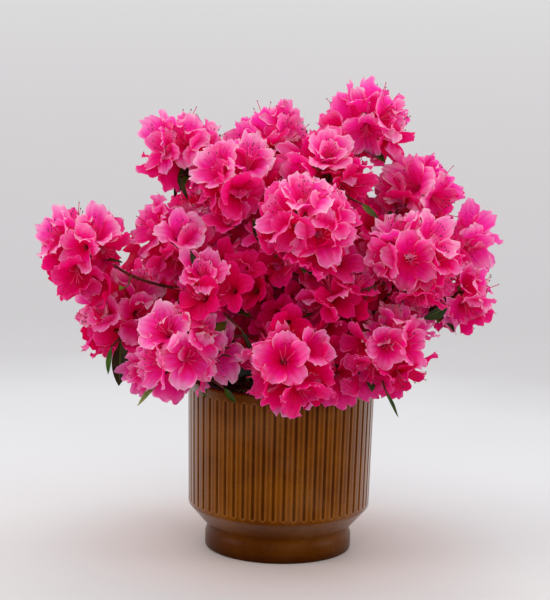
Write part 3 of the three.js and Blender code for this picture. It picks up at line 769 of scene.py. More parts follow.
def petal_grid(flower, lobe, random, across, along):
    """One petal from the foot of the tube to the tip of its lobe, round the blossom's axis."""
    p = PETAL
    scale = flower["scale"]
    varies, draws = PETAL_VARIES, PETAL_DRAWS
    swing_by = flower["open"] + STANCE[lobe] + vary(random, *varies["swing"])
    longer = vary(random, *varies["length"])
    width = p["width"] * flower.get("narrow", 1) * vary(random, *varies["width"])
    askew = vary(random, *varies["skew"])
    tilt = vary(random, *varies["tilt"])
    fold = pick(random, *draws["fold"])
    curl = pick(random, *draws["curl"])
    ruffle = p["ruffle"] * flower.get("frill", 1) * pick(random, *draws["ruffle"])
    least_waves, more_waves = draws["waves"]
    waves = pick(random, flower.get("waves", least_waves), more_waves)
    point = pick(random, *draws["point"])
    phase, second, third, fourth = (random() * TAU for _ in range(4))
    t = 1 - (1 - np.linspace(0, 1, along))**1.35
    bell = Bezier(*[(*point, 0) for point in BELL]).at(t)
    # The lobe swings up or down about the mouth of its tube
    out, lift = (bell[:, 0] - p["mouth_radius"]) * longer, bell[:, 1] - p["mouth"]
    swing = swing_by * smooth(0.05, 0.7, t)
    radial = p["mouth_radius"] + out * np.cos(swing) - lift * np.sin(swing) * 0.6
    rise = p["mouth"] + out * np.sin(swing) + lift * np.cos(swing)
    free = smooth(p["free_from"], p["free_at"], t)
    full = p["fullest"]
    widening = 1 - 0.4 * (np.clip(full - t, 0, 1) / full)**1.3
    outline = np.where(t < full, widening, np.clip(1 - ((t - full) / 0.325)**2, 0, 1)**point)
    half = p["half"] * radial * (1 - free) + width * outline * free
    cup = p["cup"] * radial * (1 - free)
    # The tube below the bell
    foot = np.linspace(0, 1, 3)[:-1]
    tube_radius = np.array([p["foot_radius"], p["mouth_radius"] * 0.72])
    tube_foot = max(p["tube_foot"], 0.5 - flower["length"] / scale)
    radial = np.concatenate([tube_radius, radial])[:, None]
    rise = np.concatenate([tube_foot + (p["mouth"] - tube_foot) * foot, rise])[:, None]
    half = np.concatenate([tube_radius * p["half"], half])[:, None]
    cup = np.concatenate([tube_radius * p["cup"], cup])[:, None]
    free = np.concatenate([np.zeros(2), free])[:, None]
    t = np.concatenate([np.zeros(2), t])[:, None]
    u = np.linspace(-1, 1, across)[None, :]
    # Ruffles run round the lobe's margin and die away towards its middle
    ahead = np.maximum(radial - p["lobe_centre"], 0) / p["lobe_reach"]
    round_lobe = np.arctan2(u * half, radial - p["lobe_centre"])
    margin = np.clip(np.hypot(u, ahead), 0, 1.15) * free
    ruffles = ruffle * margin**2.6 * np.sin(waves * round_lobe + phase)
    ruffles = ruffles + 0.3 * margin**4 * np.sin(2.1 * waves * round_lobe + second)
    pleats = p["pleat"] * free * (1 - 0.5 * t) * np.cos(3.3 * math.pi * u + third)
    crease = -p["crease"] * np.exp(-(u / 0.2)**2) * free * (1 - 0.45 * t)
    bent = curl * np.clip((t - p["bent_from"]) / (1 - p["bent_from"]), 0, 1)**2
    side = half * u * (1 + 0.07 * free * np.sin(9 * t + fourth + 2 * u)) + askew * radial * free
    height = rise + ruffles + pleats + crease + bent + (tilt * half * u + fold * half * np.abs(u)) * free
    tuck = 0.16 * np.abs(bent) + 0.9 * np.exp(-(u / 0.3)**2) * t**10
    scallops = 0.5 * np.sin(3.4 * u + phase) + 0.38 * margin**3 * np.sin(2.4 * waves * round_lobe + second)
    outward = radial - cup * u * u + free * scallops * margin - tuck
    turn = lobe / 5 * TAU + flower["roll"] + vary(random, *varies["turn"])
    axis = flower["facing"]
    right, over = cross_frame(axis)
    toward = over * math.cos(turn) - right * math.sin(turn)
    beside = -over * math.sin(turn) - right * math.cos(turn)
    spot = toward * outward[..., None] + beside * side[..., None] + axis * (height[..., None] - tube_foot)
    return flower["foot"] + spot * scale


def dress_flower(flower, random):
    """How far a blossom has opened, how it nods on its stalk, its tint, and whether it is double."""
    kind = flower.setdefault("kind", "main")
    scale = flower["scale"]
    flower["open"] = -0.12 + 0.5 * random()**1.8
    foot = flower["length"] + max(PETAL["tube_foot"], 0.5 - flower["length"] / scale) * scale
    nod = np.array([vary(random, DRESS["nod"]) for _ in range(3)])
    flower["facing"] = unit(flower["axis"] + nod)
    # Painted light and shade: a blossom that faces up gets a paler tint, as if lit, and one that
    # faces down a deeper one, as if in shade, with some spread at random
    painted_shade = flower["tint"] + 0.5 - 1.4 * flower["direction"][2] + vary(random, 1.2) + PAINTED_SHADE_BY_KIND[kind]
    flower["double"] = random() > DRESS["double"] and kind == "main"
    if kind == "main":
        painted_shade = min(painted_shade, TINTS.index("deep"))
        flower["scale"] *= DRESS["grown"]
        foot = foot - (DRESS["grown"] - 1) * -PETAL["tube_foot"] * scale - DRESS["sunk"]
    flower["foot"] = flower["root"] + flower["axis"] * foot
    flower["shade"] = int(np.clip(round(painted_shade), 0, len(TINTS) - 1))


def add_petals(sheets, flower, random):
    size = PETAL_POINTS[flower["kind"]]
    if flower["kind"] != "main":
        flower = dict(flower, waves=2.2, frill=0.9)
    tint = flower["shade"]
    for lobe in range(5):
        blotched = lobe == 0
        sheets.add(petal_grid(flower, lobe, random, *size), tint * 2 + blotched, (-1, 1))
    if flower["double"]:
        inner = dict(
            flower, scale=flower["scale"] * 0.68, open=flower["open"] + 0.3, frill=1.7, narrow=0.85, waves=5,
            roll=flower["roll"] + TAU / 10, foot=flower["foot"] + flower["facing"] * 5 * flower["scale"],
        )
        for lobe in range(5):
            sheets.add(petal_grid(inner, lobe, random, *PETAL_POINTS["double"]), tint * 2, (-1, 1))


def stamen_points(flower, turn, lean, reach):
    """A filament from the throat, arching out and up."""
    axis, scale = flower["facing"], flower["scale"]
    right, over = cross_frame(axis)
    toward = over * math.cos(turn) - right * math.sin(turn)
    face = flower["foot"] - axis * PETAL["tube_foot"] * scale
    return Bezier(
        face + (axis * -14 + toward * 0.8) * scale,
        face + (axis * -6 + toward * lean * 0.15) * scale,
        face + (axis * reach * 0.3 + toward * lean * 0.7) * scale,
        face + (axis * reach + toward * lean + over * 1.5 + UP * 1.5) * scale,
    ).at(np.linspace(0, 1, 5))


def anther_grid(centre, axis, length, radius):
    """A small closed spindle."""
    stations = np.linspace(-0.5, 0.5, 4)
    points = centre + stations[:, None] * axis * length
    return tube_grid(points, radius * np.array([0.15, 1.0, 1.0, 0.15]), 3)


def add_stamens(filaments, anthers, flower, random):
    few, more = STAMENS["count"]
    count = few + int(random() * more)
    fan = random() * TAU
    for i in range(count):
        turn = fan + (i / count) * TAU * 0.8 + random() * 0.3
        lean = pick(random, *STAMENS["lean"])
        reach = pick(random, *STAMENS["reach"])
        points = stamen_points(flower, turn, lean, reach)
        filaments.add(tube_grid(points, np.linspace(*STAMENS["filament"], 5), 3))
        anthers.add(anther_grid(points[-1], unit(points[-1] - points[-2] + UP), *STAMENS["anther"]))
    points = stamen_points(flower, fan + TAU * 0.9, *STAMENS["style_aim"])
    filaments.add(tube_grid(points, np.linspace(*STAMENS["style"], 5), 3), 1)
    anthers.add(anther_grid(points[-1], unit(points[-1] - points[-2]), *STAMENS["stigma"]), 1)


def leaf_grid(leaf, random):
    """A leaf folded along its midrib, arching to its tip, with a short stalk."""
    scale = leaf["scale"]
    right, over = cross_frame(leaf["axis"])
    if "faces" in leaf:
        right = unit(np.cross(leaf["axis"], leaf["faces"]))
        over = np.cross(right, leaf["axis"])
    x = np.linspace(0, 1, 10)
    u = np.linspace(-1, 1, 5)[None, :]
    droop = leaf.get("droop", 1 + 1.6 * random())
    sway = vary(random, 3)
    outline = np.clip(np.sin(math.pi * np.clip((x - 0.08) / 0.92, 0, 1)**0.82), 0, 1)**0.8
    half = LEAF["width"] / 2 * leaf.get("wide", 0.85 + 0.3 * random()) * outline + 0.45 * (1 - x)
    along = LEAF["length"] * x[:, None] * np.ones_like(u)
    side = half[:, None] * u + sway * (x**2)[:, None]
    wave = 0.5 * np.sin(TAU * 1.3 * x + random() * TAU)[:, None] * u * u
    lift = np.abs(u) * half[:, None] * 0.32 + wave - (droop * LEAF["fold"] * x**2)[:, None]
    spot = leaf["axis"] * along[..., None] + right * side[..., None] + over * lift[..., None]
    return leaf["root"] + spot * scale


# Wood

def bark_relief(seed, coarse=1.0):
    """Long cracks and a little unevenness round a limb."""

    def relief(i, turn):
        ridges = 0.05 * np.sin(turn * 5 + 0.21 * i + seed) + 0.035 * np.sin(turn * 9 - 0.33 * i + 2.1 * seed)
        knots = 0.05 * math.sin(0.9 * i + seed) * np.sin(turn * 2 + 0.5 * i)
        return 1 + coarse * (ridges + knots)

    return relief


def limb_grid(limb, seed, sides, step, coarse, collar, share):
    count = max(6, round(limb["curve"].length() / step))
    t = np.linspace(0, 1, count + 1)
    points = limb["curve"].at(t)
    radii = np.array([limb["radius"](v) for v in t]) * share
    along = np.linspace(0, limb["curve"].length(), count + 1)
    radii = radii * (1 + collar * np.exp(-along / COLLAR_REACH))
    return tube_grid(points, radii, sides, bark_relief(seed, coarse))


# Planter, pot and compost

def polar_point(radius, turn, z):
    return np.stack([radius * np.cos(turn), radius * np.sin(turn), z * np.ones_like(turn)], axis=-1)


def arc_profile(centre, radius, start, end, count):
    angles = np.radians(np.linspace(start, end, count))
    return [(centre[0] + radius * math.cos(a), centre[1] + radius * math.sin(a)) for a in angles]


def planter_profile():
    """Radius and height round the planter's wall, from the middle of its underside to that of its floor."""
    p = PLANTER
    foot, cove, shoulder = p["foot_radius"], p["cove_radius"], p["shoulder_radius"]
    edge, low, drop = p["foot_edge"], p["shoulder_height"], p["cove_height"]
    top = p["height"] - p["lip_round"]
    rows = [(0, 0.0), (40, 0.0), (foot - edge - 1, 0.0)]
    rows += arc_profile((foot - edge, edge), edge, -90, 0, 5)
    rows += [(foot, 6), (foot, 10)]
    rows += [(foot + (cove - foot) * smooth(0, 1, t), 11 + 6 * t) for t in (0.2, 0.4, 0.55, 0.7, 0.85, 1)]
    slope = (0, 0.06, 0.14, 0.3, 0.5, 0.7, 0.86, 0.94)
    rows += [(cove + (shoulder - cove) * t, drop + (low - drop) * t) for t in slope]
    # The drum, with its rows closest at the round ends of the flutes
    ends = (0.0, 0.15, 0.35, 0.6, 0.9, 1.3, 1.8, 2.6, 4)
    drum = [low + 0.4, low + 1.4]
    drum += [FLUTES["bottom"] - 0.4 + v for v in ends]
    drum += range(50, 121, 10)
    drum += [FLUTES["top"] + 0.4 - v for v in reversed(ends)]
    drum += [FLUTES["top"] + 1.4, top - 2.5]
    rows += [(shoulder + (p["radius"] - shoulder) * (z - low) / (top - low), z) for z in drum]
    wall = p["radius"] - p["wall"]
    middle, half = (p["radius"] + wall) / 2, (p["radius"] - wall) / 2
    for angle in np.radians(np.linspace(0, 180, 11)):
        rows.append((middle + half * math.cos(angle), top + p["lip_round"] * math.sin(angle)))
    rows += [(wall - 0.2, 120), (wall - 1, 80), (shoulder - p["wall"], low + 1)]
    inside = cove - p["wall"]
    rows += [(inside, drop), (inside, p["floor"] + 1), (inside - 1, p["floor"]), (0, p["floor"])]
    return np.array(rows)


# Where the planter's columns of points stand, in millimetres from the middle of each flute
FLUTE_STATIONS = (-4.2, -1.9, -1.55, -1.2, -0.8, -0.4, 0, 0.4, 0.8, 1.2, 1.55, 1.9)


def make_planter(glaze):
    p = PLANTER
    profile = planter_profile()
    pitch = TAU / FLUTES["count"]
    places = np.array(FLUTE_STATIONS) / p["radius"] + pitch / 2
    turn = (np.arange(FLUTES["count"])[:, None] * pitch + places).reshape(-1)
    turn = np.append(turn, turn[0] + TAU)
    outer = np.arange(len(profile)) < np.argmax(profile[:, 1]) - 2
    half = FLUTES["width"] / 2
    form = FLUTE_FORM
    rows, hollows, rims = [], [], []
    for (radius, z), outside in zip(profile, outer):
        # Distance from the middle of the nearest flute, across it and past its round ends
        offset = ((turn / pitch) % 1 - 0.5) * pitch * max(radius, 1)
        past = max(0, FLUTES["bottom"] + half - z, z - FLUTES["top"] + half)
        distance = np.hypot(offset, past)
        on_drum = outside and z > p["shoulder_height"]
        deep = (1 - smooth(half - form["slope"], half, distance)) * on_drum
        proud = np.exp(-((distance - half - form["bead_off"]) / form["bead_width"])**2) * on_drum
        rows.append(polar_point(radius - FLUTES["depth"] * deep, turn, z))
        hollows.append(deep)
        rims.append(proud)
    sheets = Sheets()
    sheets.add(np.array(rows))
    piece = sheets.piece("planter_glazed", [glaze], "glaze", ["planter"])
    for name, values in (("hollow", hollows), ("rim", rims)):
        layer = piece.data.attributes.new(name, "FLOAT", "POINT")
        layer.data.foreach_set("value", np.array(values, np.float32).reshape(-1))


def make_grow_pot(plastic):
    rim, top, foot, wall = (GROW_POT[key] for key in ("rim_radius", "rim_height", "base_radius", "wall"))
    base = PLANTER["floor"] + CLEAR
    below = top - GROW_POT["rim_depth"]
    side = rim - GROW_POT["rim_step"]
    half = wall / 2
    profile = [(0, base), (foot, base), (side, below - 0.6), (side + 0.3, below)]
    profile += [(rim - 0.4, below), (rim, below + 0.5), (rim, top - half)]
    profile += arc_profile((rim - half, top - half), half, 20, 160, 6)
    profile += [(rim - wall, top - half), (rim - wall, below + 2), (side - wall, below - 1)]
    profile += [(foot - wall, base + wall), (0, base + wall)]
    turn = np.linspace(0, TAU, GROW_POT_SIDES + 1)
    sheets = Sheets()
    sheets.add(np.array([polar_point(radius, turn, z) for radius, z in profile]))
    sheets.piece("grow_pot_plastic", [plastic], "pot_plastic", ["grow_pot"])


def make_compost(materials):
    """A crumbly top on a plug, loose lumps bedded in it, and a few fibres."""
    wall = GROW_POT["wall"]
    base = PLANTER["floor"] + 2 * CLEAR + wall
    edge = GROW_POT["rim_radius"] - GROW_POT["rim_step"] - wall - 2 * CLEAR
    foot = GROW_POT["base_radius"] - wall - 2 * CLEAR
    random = np.random.default_rng(CRUMBS["seed"])
    turn = np.linspace(0, TAU, CRUMBS["columns"] + 1)
    plug = ((0, base), (foot, base), (edge, COMPOST_HEIGHT - 2))
    rows = [polar_point(radius, turn, z) for radius, z in plug]
    for radius in np.linspace(edge - 0.6, 0, CRUMBS["rings"]):
        swell = 0.5 * np.sin(turn * 3 + radius * 0.11) + 0.4 * np.sin(turn * 5 - radius * 0.2 + 1)
        crumbs = random.normal(0, CRUMBS["height"], CRUMBS["columns"])
        z = COMPOST_HEIGHT - 0.6 + swell * min(1, radius / 15) + np.append(crumbs, crumbs[0])
        rows.append(polar_point(max(radius, 0.01), turn, z))
    sheets = Sheets()
    sheets.add(np.array(rows))
    for _ in range(CRUMBS["lumps"]):
        angle = random.uniform(0, TAU)
        radius = edge * math.sqrt(random.uniform(0.02, 0.93))
        size = random.uniform(0.7, 2.3)
        centre = at_bearing(angle, radius, COMPOST_HEIGHT + size * 0.15)
        axis = unit(random.normal(0, 1, 3) * (1, 1, 0.5))
        stations = np.linspace(-1, 1, 5)[:, None] * axis * size * random.uniform(0.7, 1.5)
        girth = size * np.array([0.2, 0.8, 1.0, 0.75, 0.15]) * random.uniform(0.75, 1.2, 5)
        sheets.add(tube_grid(centre + stations, girth, 6), int(random.uniform() > 0.78))
    for _ in range(FIBRES["count"]):
        angle, way = random.uniform(0, TAU, 2)
        radius = (edge - FIBRES["length"]) * math.sqrt(random.uniform(0, 1))
        middle = at_bearing(angle, radius, COMPOST_HEIGHT)
        along = at_bearing(way, 1, 0) * FIBRES["length"] * random.uniform(0.3, 0.7)
        bend = np.array([-math.sin(way), math.cos(way), 0]) * random.uniform(-6, 6)
        arch = UP * random.uniform(1.5, 5)
        guides = (middle - along - UP, middle - along * 0.3 + bend + arch, middle + along * 0.4 + arch)
        fibre = Bezier(*guides, middle + along).at(np.linspace(0, 1, 8))
        sheets.add(tube_grid(fibre, np.full(8, FIBRES["radius"]), 4), 2)
    sheets.piece("compost_crumbs", materials, "compost", ["compost"])


# Shaders

class Shade:
    """One socket of a material's nodes. Arithmetic on it adds Math nodes."""

    def __init__(self, tree, socket=None):
        self.tree, self.socket = tree, socket

    def node(self, kind, settings=None, sockets=None, output=0):
        """Adds any node: its settings first, then its sockets' values or links."""
        made = self.tree.nodes.new(kind)
        for name, value in (settings or {}).items():
            if name == "stops":
                set_stops(made.color_ramp, value)
            else:
                setattr(made, name, value)
        for name, value in (sockets or {}).items():
            if isinstance(value, Shade):
                self.tree.links.new(value.socket, made.inputs[name])
            else:
                made.inputs[name].default_value = value
        return Shade(self.tree, made.outputs[output] if made.outputs else None)

    def math(self, operation, first, second=0.0):
        return self.node("ShaderNodeMath", {"operation": operation}, {0: first, 1: second})

    def __add__(self, other):
        return self.math("ADD", self, other)

    def __sub__(self, other):
        return self.math("SUBTRACT", self, other)

    def __rsub__(self, other):
        return self.math("SUBTRACT", other, self)

    def __mul__(self, other):
        return self.math("MULTIPLY", self, other)

    def __abs__(self):
        return self.math("ABSOLUTE", self)

    __radd__ = __add__
    __rmul__ = __mul__

    def between(self, low, high):
        """0 below low and 1 above high, eased between."""
        return self.node("ShaderNodeMapRange", {"interpolation_type": "SMOOTHSTEP"},
                         {"Value": self, "From Min": low, "From Max": high})

    def mix(self, first, second):
        """The first colour where this is 0, and the second where it is 1."""
        return self.node("ShaderNodeMix", {"data_type": "RGBA"}, {"Factor": self, "A": first, "B": second}, 2)

    def noise(self, scale, detail=3.0, roughness=0.55):
        """Noise laid by this position."""
        return self.node("ShaderNodeTexNoise", {},
                         {"Vector": self, "Scale": scale, "Detail": detail, "Roughness": roughness})

    def bump(self, distance, strength=1.0):
        """A normal from this height."""
        return self.node("ShaderNodeBump", {}, {"Height": self, "Distance": distance, "Strength": strength})


def set_stops(ramp, stops):
    while len(ramp.elements) < len(stops):
        ramp.elements.new(1.0)
    for element, (position, colour) in zip(ramp.elements, stops):
        element.position = position
        element.color = colour


def colour(red, green, blue):
    """A colour given as it looks on a screen, from 0 to 255, made linear."""

    def linear(value):
        share = value / 255
        return share / 12.92 if share <= 0.04045 else ((share + 0.055) / 1.055)**2.4

    return (linear(red), linear(green), linear(blue), 1.0)


def new_material(name):
    material = bpy.data.materials.new(name)
    material.use_nodes = True
    material.node_tree.nodes.clear()
    return material, Shade(material.node_tree)


def finish_material(start, surface):
    start.node("ShaderNodeOutputMaterial", {}, {"Surface": surface})


def principled(start, base, roughness, specular, more=None):
    return start.node("ShaderNodeBsdfPrincipled", {}, {
        "Base Color": base, "Roughness": roughness, "Specular IOR Level": specular, **(more or {}),
    })


def position_of(start):
    return start.node("ShaderNodeTexCoord", output="Object")


def map_axes(start):
    """Across and along the face that a point lies on."""
    where = start.node("ShaderNodeUVMap", {"uv_map": "Face"})
    node = start.node("ShaderNodeSeparateXYZ", {}, {"Vector": where}).socket.node
    return [Shade(start.tree, node.outputs[axis]) for axis in "XY"]


# Colours as they look on a screen. Petals, from the palest tint to the deepest, which paint blossoms
# as lit or as in shade: the thin edge, a painted highlight, the rim, the body, the heart, and the light
# that comes through
PETAL_TINTS = dict(
    pale=((254, 230, 244), (250, 190, 228), (243, 58, 177), (233, 0, 107), (254, 40, 176)),
    bright=((252, 202, 232), (246, 138, 206), (238, 15, 147), (225, 0, 87), (252, 13, 145)),
    deep=((250, 136, 198), (238, 64, 158), (227, 0, 116), (208, 0, 63), (244, 0, 115)),
    shade=((236, 48, 138), (226, 10, 114), (210, 0, 88), (189, 0, 53), (239, 0, 91)),
)
TINTS = list(PETAL_TINTS)
# Dark and light tones
LEAF_TONES = dict(
    leaf_dark=((20, 30, 6), (42, 56, 12)), leaf_green=((28, 48, 6), (58, 84, 16)),
    leaf_olive=((52, 48, 14), (92, 92, 32)), leaf_browned=((24, 18, 9), (56, 42, 16)),
    leaf_pale=((92, 98, 48), (138, 142, 80)),
)
COMPOST_TONES = dict(
    compost_dark=((44, 24, 16), (106, 64, 44)), compost_red=((74, 34, 20), (138, 78, 50)),
    compost_fibre=((120, 90, 52), (176, 142, 92)),
)
BARK_TONES = dict(bark=((54, 14, 12), (100, 40, 30)), twig_bark=((60, 18, 15), (104, 48, 36)))
# The pale patch tone is partly the glaze's bloom and partly a painted reflection; the shoulder and foot tones
# are painted shade low on the planter
GLAZE_TONES = dict(
    brown=(74, 33, 0), amber=(99, 52, 0), bloom_and_reflection_tone=(152, 116, 84), shoulder=(48, 16, 0), foot=(28, 6, 0),
    flute=(54, 20, 0), rim=(146, 88, 26),
)
PLASTIC_TONES = ((8, 8, 8), (18, 17, 16))
COMPOST_GRAIN = dict(noise=(520.0, 6.0, 0.7), band=(0.4, 0.68), relief=0.0012, roughness=0.93, specular=0.2)
PLASTIC_GRAIN = dict(noise=(300.0,), band=(0.3, 0.7), relief=0.0003, roughness=0.45, specular=0.4)
# Plain finishes: tone, roughness and specular level
STALK_FINISHES = dict(stalk_green=((100, 66, 40), 0.6, 0.3), calyx_green=((104, 118, 44), 0.55, 0.3))
FILAMENT_FINISHES = dict(filament_pink=((232, 70, 130), 0.5, 0.3), style_red=((206, 30, 92), 0.5, 0.3))
ANTHER_FINISHES = dict(anther_brown=((72, 24, 28), 0.6, 0.3), stigma_red=((120, 12, 40), 0.4, 0.4))


def petal_material(tint, blotched):
    """Pink that pales from the throat to the rim, with fine veins, and freckles on the upper petal."""
    edge_highlight_tone, rim_tone, body_tone, heart_tone, through_tone = (colour(*tone) for tone in PETAL_TINTS[tint])
    material, start = new_material("petal_" + tint + ("_blotched" if blotched else ""))
    across, along = map_axes(start)
    where = position_of(start)
    cloud = where.noise(60.0, 2.0)
    side = abs(across)
    heart = (along + (cloud - 0.5) * 0.2).between(0.62, 0.3)
    rim = (along + side * side * side * 0.22 + (cloud - 0.5) * 0.35).between(0.57, 1.0)
    veins = start.math("SINE", across * 12.0 + (cloud - 0.5) * 7.0).between(0.1, 0.95)
    midrib = side.between(0.2, 0.0) * along.between(0.95, 0.4)
    # A thin pale line along the lobe's margin: a painted highlight
    edge = start.math("MAXIMUM", side, along).between(0.9, 0.99) * along.between(0.4, 0.62)
    streak = start.math("MAXIMUM", veins * 0.5 * along.between(1.05, 0.45), midrib * 0.7)
    base = streak.mix(rim.mix(body_tone, rim_tone), heart_tone)
    base = heart.mix(base, heart_tone)
    base = (edge * 0.75).mix(base, edge_highlight_tone)
    if blotched:
        freckles = start.node("ShaderNodeTexVoronoi", {}, {"Vector": where, "Scale": 560.0})
        zone = along.between(0.36, 0.44) * along.between(0.78, 0.64) * side.between(0.6, 0.3)
        base = (freckles.between(0.4, 0.26) * zone * 0.9).mix(base, colour(150, 0, 56))
    shader = principled(start, base, 0.42, 0.05, {"Normal": (cloud - veins * 0.7).bump(0.0004, 0.8)})
    through = start.node("ShaderNodeBsdfTranslucent", {}, {"Color": through_tone})
    finish_material(start, start.node("ShaderNodeMixShader", {}, {0: 0.5, 1: shader, 2: through}))
    return material


def plain_materials(finishes):
    made = []
    for name, (tone, roughness, specular) in finishes.items():
        material, start = new_material(name)
        finish_material(start, principled(start, colour(*tone), roughness, specular))
        made.append(material)
    return made


def leaf_material(name):
    """Glossy green, paler along the midrib and side veins."""
    dark, light = LEAF_TONES[name]
    material, start = new_material(name)
    across, along = map_axes(start)
    cloud = position_of(start).noise(90.0)
    midrib = 1 - abs(across).between(0.0, 0.12)
    veins = start.math("SINE", along * 60.0 - abs(across) * 14.0).between(0.86, 1.0)
    base = cloud.between(0.3, 0.75).mix(colour(*dark), colour(*light))
    base = (midrib * 0.4 + veins * 0.16).mix(base, colour(106, 116, 48))
    relief = (cloud * 0.5 - midrib - veins * 0.5).bump(0.0004)
    finish_material(start, principled(start, base, 0.36, 0.13, {"Normal": relief}))
    return material


def bark_material(name):
    dark, light = BARK_TONES[name]
    material, start = new_material(name)
    where = position_of(start)
    grain = start.node("ShaderNodeVectorMath", {"operation": "MULTIPLY"}, {0: where, 1: (1, 1, 0.3)})
    grain = grain.noise(700.0, 5.0, 0.65)
    flakes = where.noise(160.0)
    base = (grain * 0.7 + flakes * 0.3).between(0.36, 0.62).mix(colour(*dark), colour(*light))
    finish_material(start, principled(start, base, 0.82, 0.25, {"Normal": grain.bump(0.0006)}))
    return material


def grained_material(name, tones, noise, band, relief, roughness, specular):
    """One grain that mottles the surface and roughens it."""
    dark, light = tones
    material, start = new_material(name)
    grain = position_of(start).noise(*noise)
    base = grain.between(*band).mix(colour(*dark), colour(*light))
    finish_material(start, principled(start, base, roughness, specular, {"Normal": grain.bump(relief)}))
    return material


def glaze_material():
    """Amber glaze: dark where it pools in the flutes, thin and pale on their rims."""
    material, start = new_material("amber_glaze")
    where = position_of(start)
    hollow = start.node("ShaderNodeAttribute", {"attribute_name": "hollow"}, output="Fac")
    rim = start.node("ShaderNodeAttribute", {"attribute_name": "rim"}, output="Fac")
    cloud = where.noise(26.0, 4.0)
    speckle = where.noise(420.0, 3.0, 0.7)
    # Pale patches: partly the glaze's own bloom, partly a painted reflection
    bloom_and_reflection = where.noise(17.0, 4.0).between(0.52, 0.74)
    height = start.node("ShaderNodeSeparateXYZ", {}, {"Vector": where}, "Z")
    facing = start.node("ShaderNodeLayerWeight", {}, {"Blend": 0.5}, "Facing")
    tones = {name: colour(*tone) for name, tone in GLAZE_TONES.items()}
    base = (cloud * 0.75 + speckle * 0.25).between(0.34, 0.66).mix(tones["brown"], tones["amber"])
    base = (bloom_and_reflection * 0.12).mix(base, tones["bloom_and_reflection_tone"])
    # Darker towards the bottom: painted shade on the shoulder under the drum, and deeper on the foot
    base = (height.between(0.036, 0.004) * 0.55).mix(base, tones["shoulder"])
    base = (height.between(0.01, 0.0) * 0.6).mix(base, tones["foot"])
    base = (hollow * hollow * 0.5).mix(base, tones["flute"])
    base = (rim * 0.4).mix(base, tones["rim"])
    # The coat shines towards the sides of the drum, less in the flutes and on the foot
    drum = height.between(0.02, 0.042) * 0.8 + 0.2
    shine = facing.between(0.18, 0.6) * drum * (1 - hollow * 0.6)
    finish_material(start, principled(start, base, 0.27, 0.03, {
        "Coat Weight": start.math("MAXIMUM", shine, rim * 0.12), "Coat Roughness": 0.2,
        "Normal": (cloud + speckle * 0.1).bump(0.0006, 0.5),
    }))
    return material


# Studio

def add_camera():
    c = CAMERA
    data = bpy.data.cameras.new("camera")
    data.lens = c["focal"] / c["long_side"] * data.sensor_width
    data.clip_end = 40
    forward = Vector((math.sin(c["yaw"]) * math.cos(c["pitch"]), math.cos(c["yaw"]) * math.cos(c["pitch"]),
                      -math.sin(c["pitch"])))
    level = Vector((math.cos(c["yaw"]), -math.sin(c["yaw"]), 0))
    upright = level.cross(forward)
    right = level * math.cos(c["roll"]) + upright * math.sin(c["roll"])
    over = upright * math.cos(c["roll"]) - level * math.sin(c["roll"])
    camera = new_object("camera", data)
    turned = Matrix((right, over, -forward)).transposed().to_4x4()
    camera.matrix_world = Matrix.Translation(Vector(c["place"]) * MM) @ turned
    bpy.context.scene.camera = camera


# Painted light on the studio floor: its colour as it looks lit, lighter and darker by distance from a
# point before the planter, in metres, and how far the light lifts it
FLOOR_LIFT = 1.56
FLOOR_MIDDLE = (-0.1, -0.3, 0)
FLOOR_TONES = [
    (0.15, (228, 226, 225)), (0.28, (236, 232, 231)), (0.38, (243, 241, 240)), (0.47, (240, 239, 240)),
    (0.7, (233, 234, 236)), (0.85, (227, 227, 229)), (1.03, (209, 207, 208)), (1.25, (203, 201, 202)),
    (2.2, (206, 203, 204)), (3.2, (209, 206, 207)), (6.0, (217, 216, 216)),
]
FLOOR_RADIUS = 12.0
FLOOR_SIDES = 96
# Painted light: the planter's warm light thrown back onto the floor round it
FLOOR_PAINTED_BOUNCE = dict(tone=(0.6, 0.525, 0.495, 1), near=0.06, far=0.2)
SKY = dict(tone=(0.98, 0.98, 1.0, 1.0), strength=0.78)
# Suns: strength, spread in degrees and the way that they shine
SUNS = dict(
    key=(1.7, 75, (0.1, -0.15, -1.0)), front=(0.75, 60, (-0.15, 1.0, -0.5)),
    left_side=(0.95, 34, (1.5, 0.4, -0.45)), right_side=(1.0, 34, (-1.5, 0.3, -0.45)),
)


def floor_material():
    material, start = new_material("studio_floor")
    where = position_of(start)
    off = start.node("ShaderNodeVectorMath", {"operation": "SUBTRACT"}, {0: where, 1: FLOOR_MIDDLE})
    distance = start.node("ShaderNodeVectorMath", {"operation": "LENGTH"}, {0: off}, "Value")
    reach = (distance + (where.noise(6.0, 2.0) - 0.5) * 0.12) * (1 / FLOOR_RADIUS)
    stops = []
    for at, tone in FLOOR_TONES:
        stops.append((at / FLOOR_RADIUS, [v / FLOOR_LIFT for v in colour(*tone)[:3]] + [1]))
    base = start.node("ShaderNodeValToRGB", {"stops": stops}, {"Fac": reach})
    from_planter = start.node("ShaderNodeVectorMath", {"operation": "LENGTH"}, {0: where}, "Value")
    # The planter's warm bounce light, painted on the floor round it
    base = from_planter.between(FLOOR_PAINTED_BOUNCE["far"], FLOOR_PAINTED_BOUNCE["near"]).mix(base, FLOOR_PAINTED_BOUNCE["tone"])
    finish_material(start, principled(start, base, 0.6, 0.2))
    return material


def add_floor():
    mesh = bpy.data.meshes.new("studio_floor")
    ring = [at_bearing(i / FLOOR_SIDES * TAU, FLOOR_RADIUS, 0) for i in range(FLOOR_SIDES)]
    mesh.from_pydata(ring, [], [range(FLOOR_SIDES)])
    mesh.materials.append(floor_material())
    new_object("studio_floor", mesh)


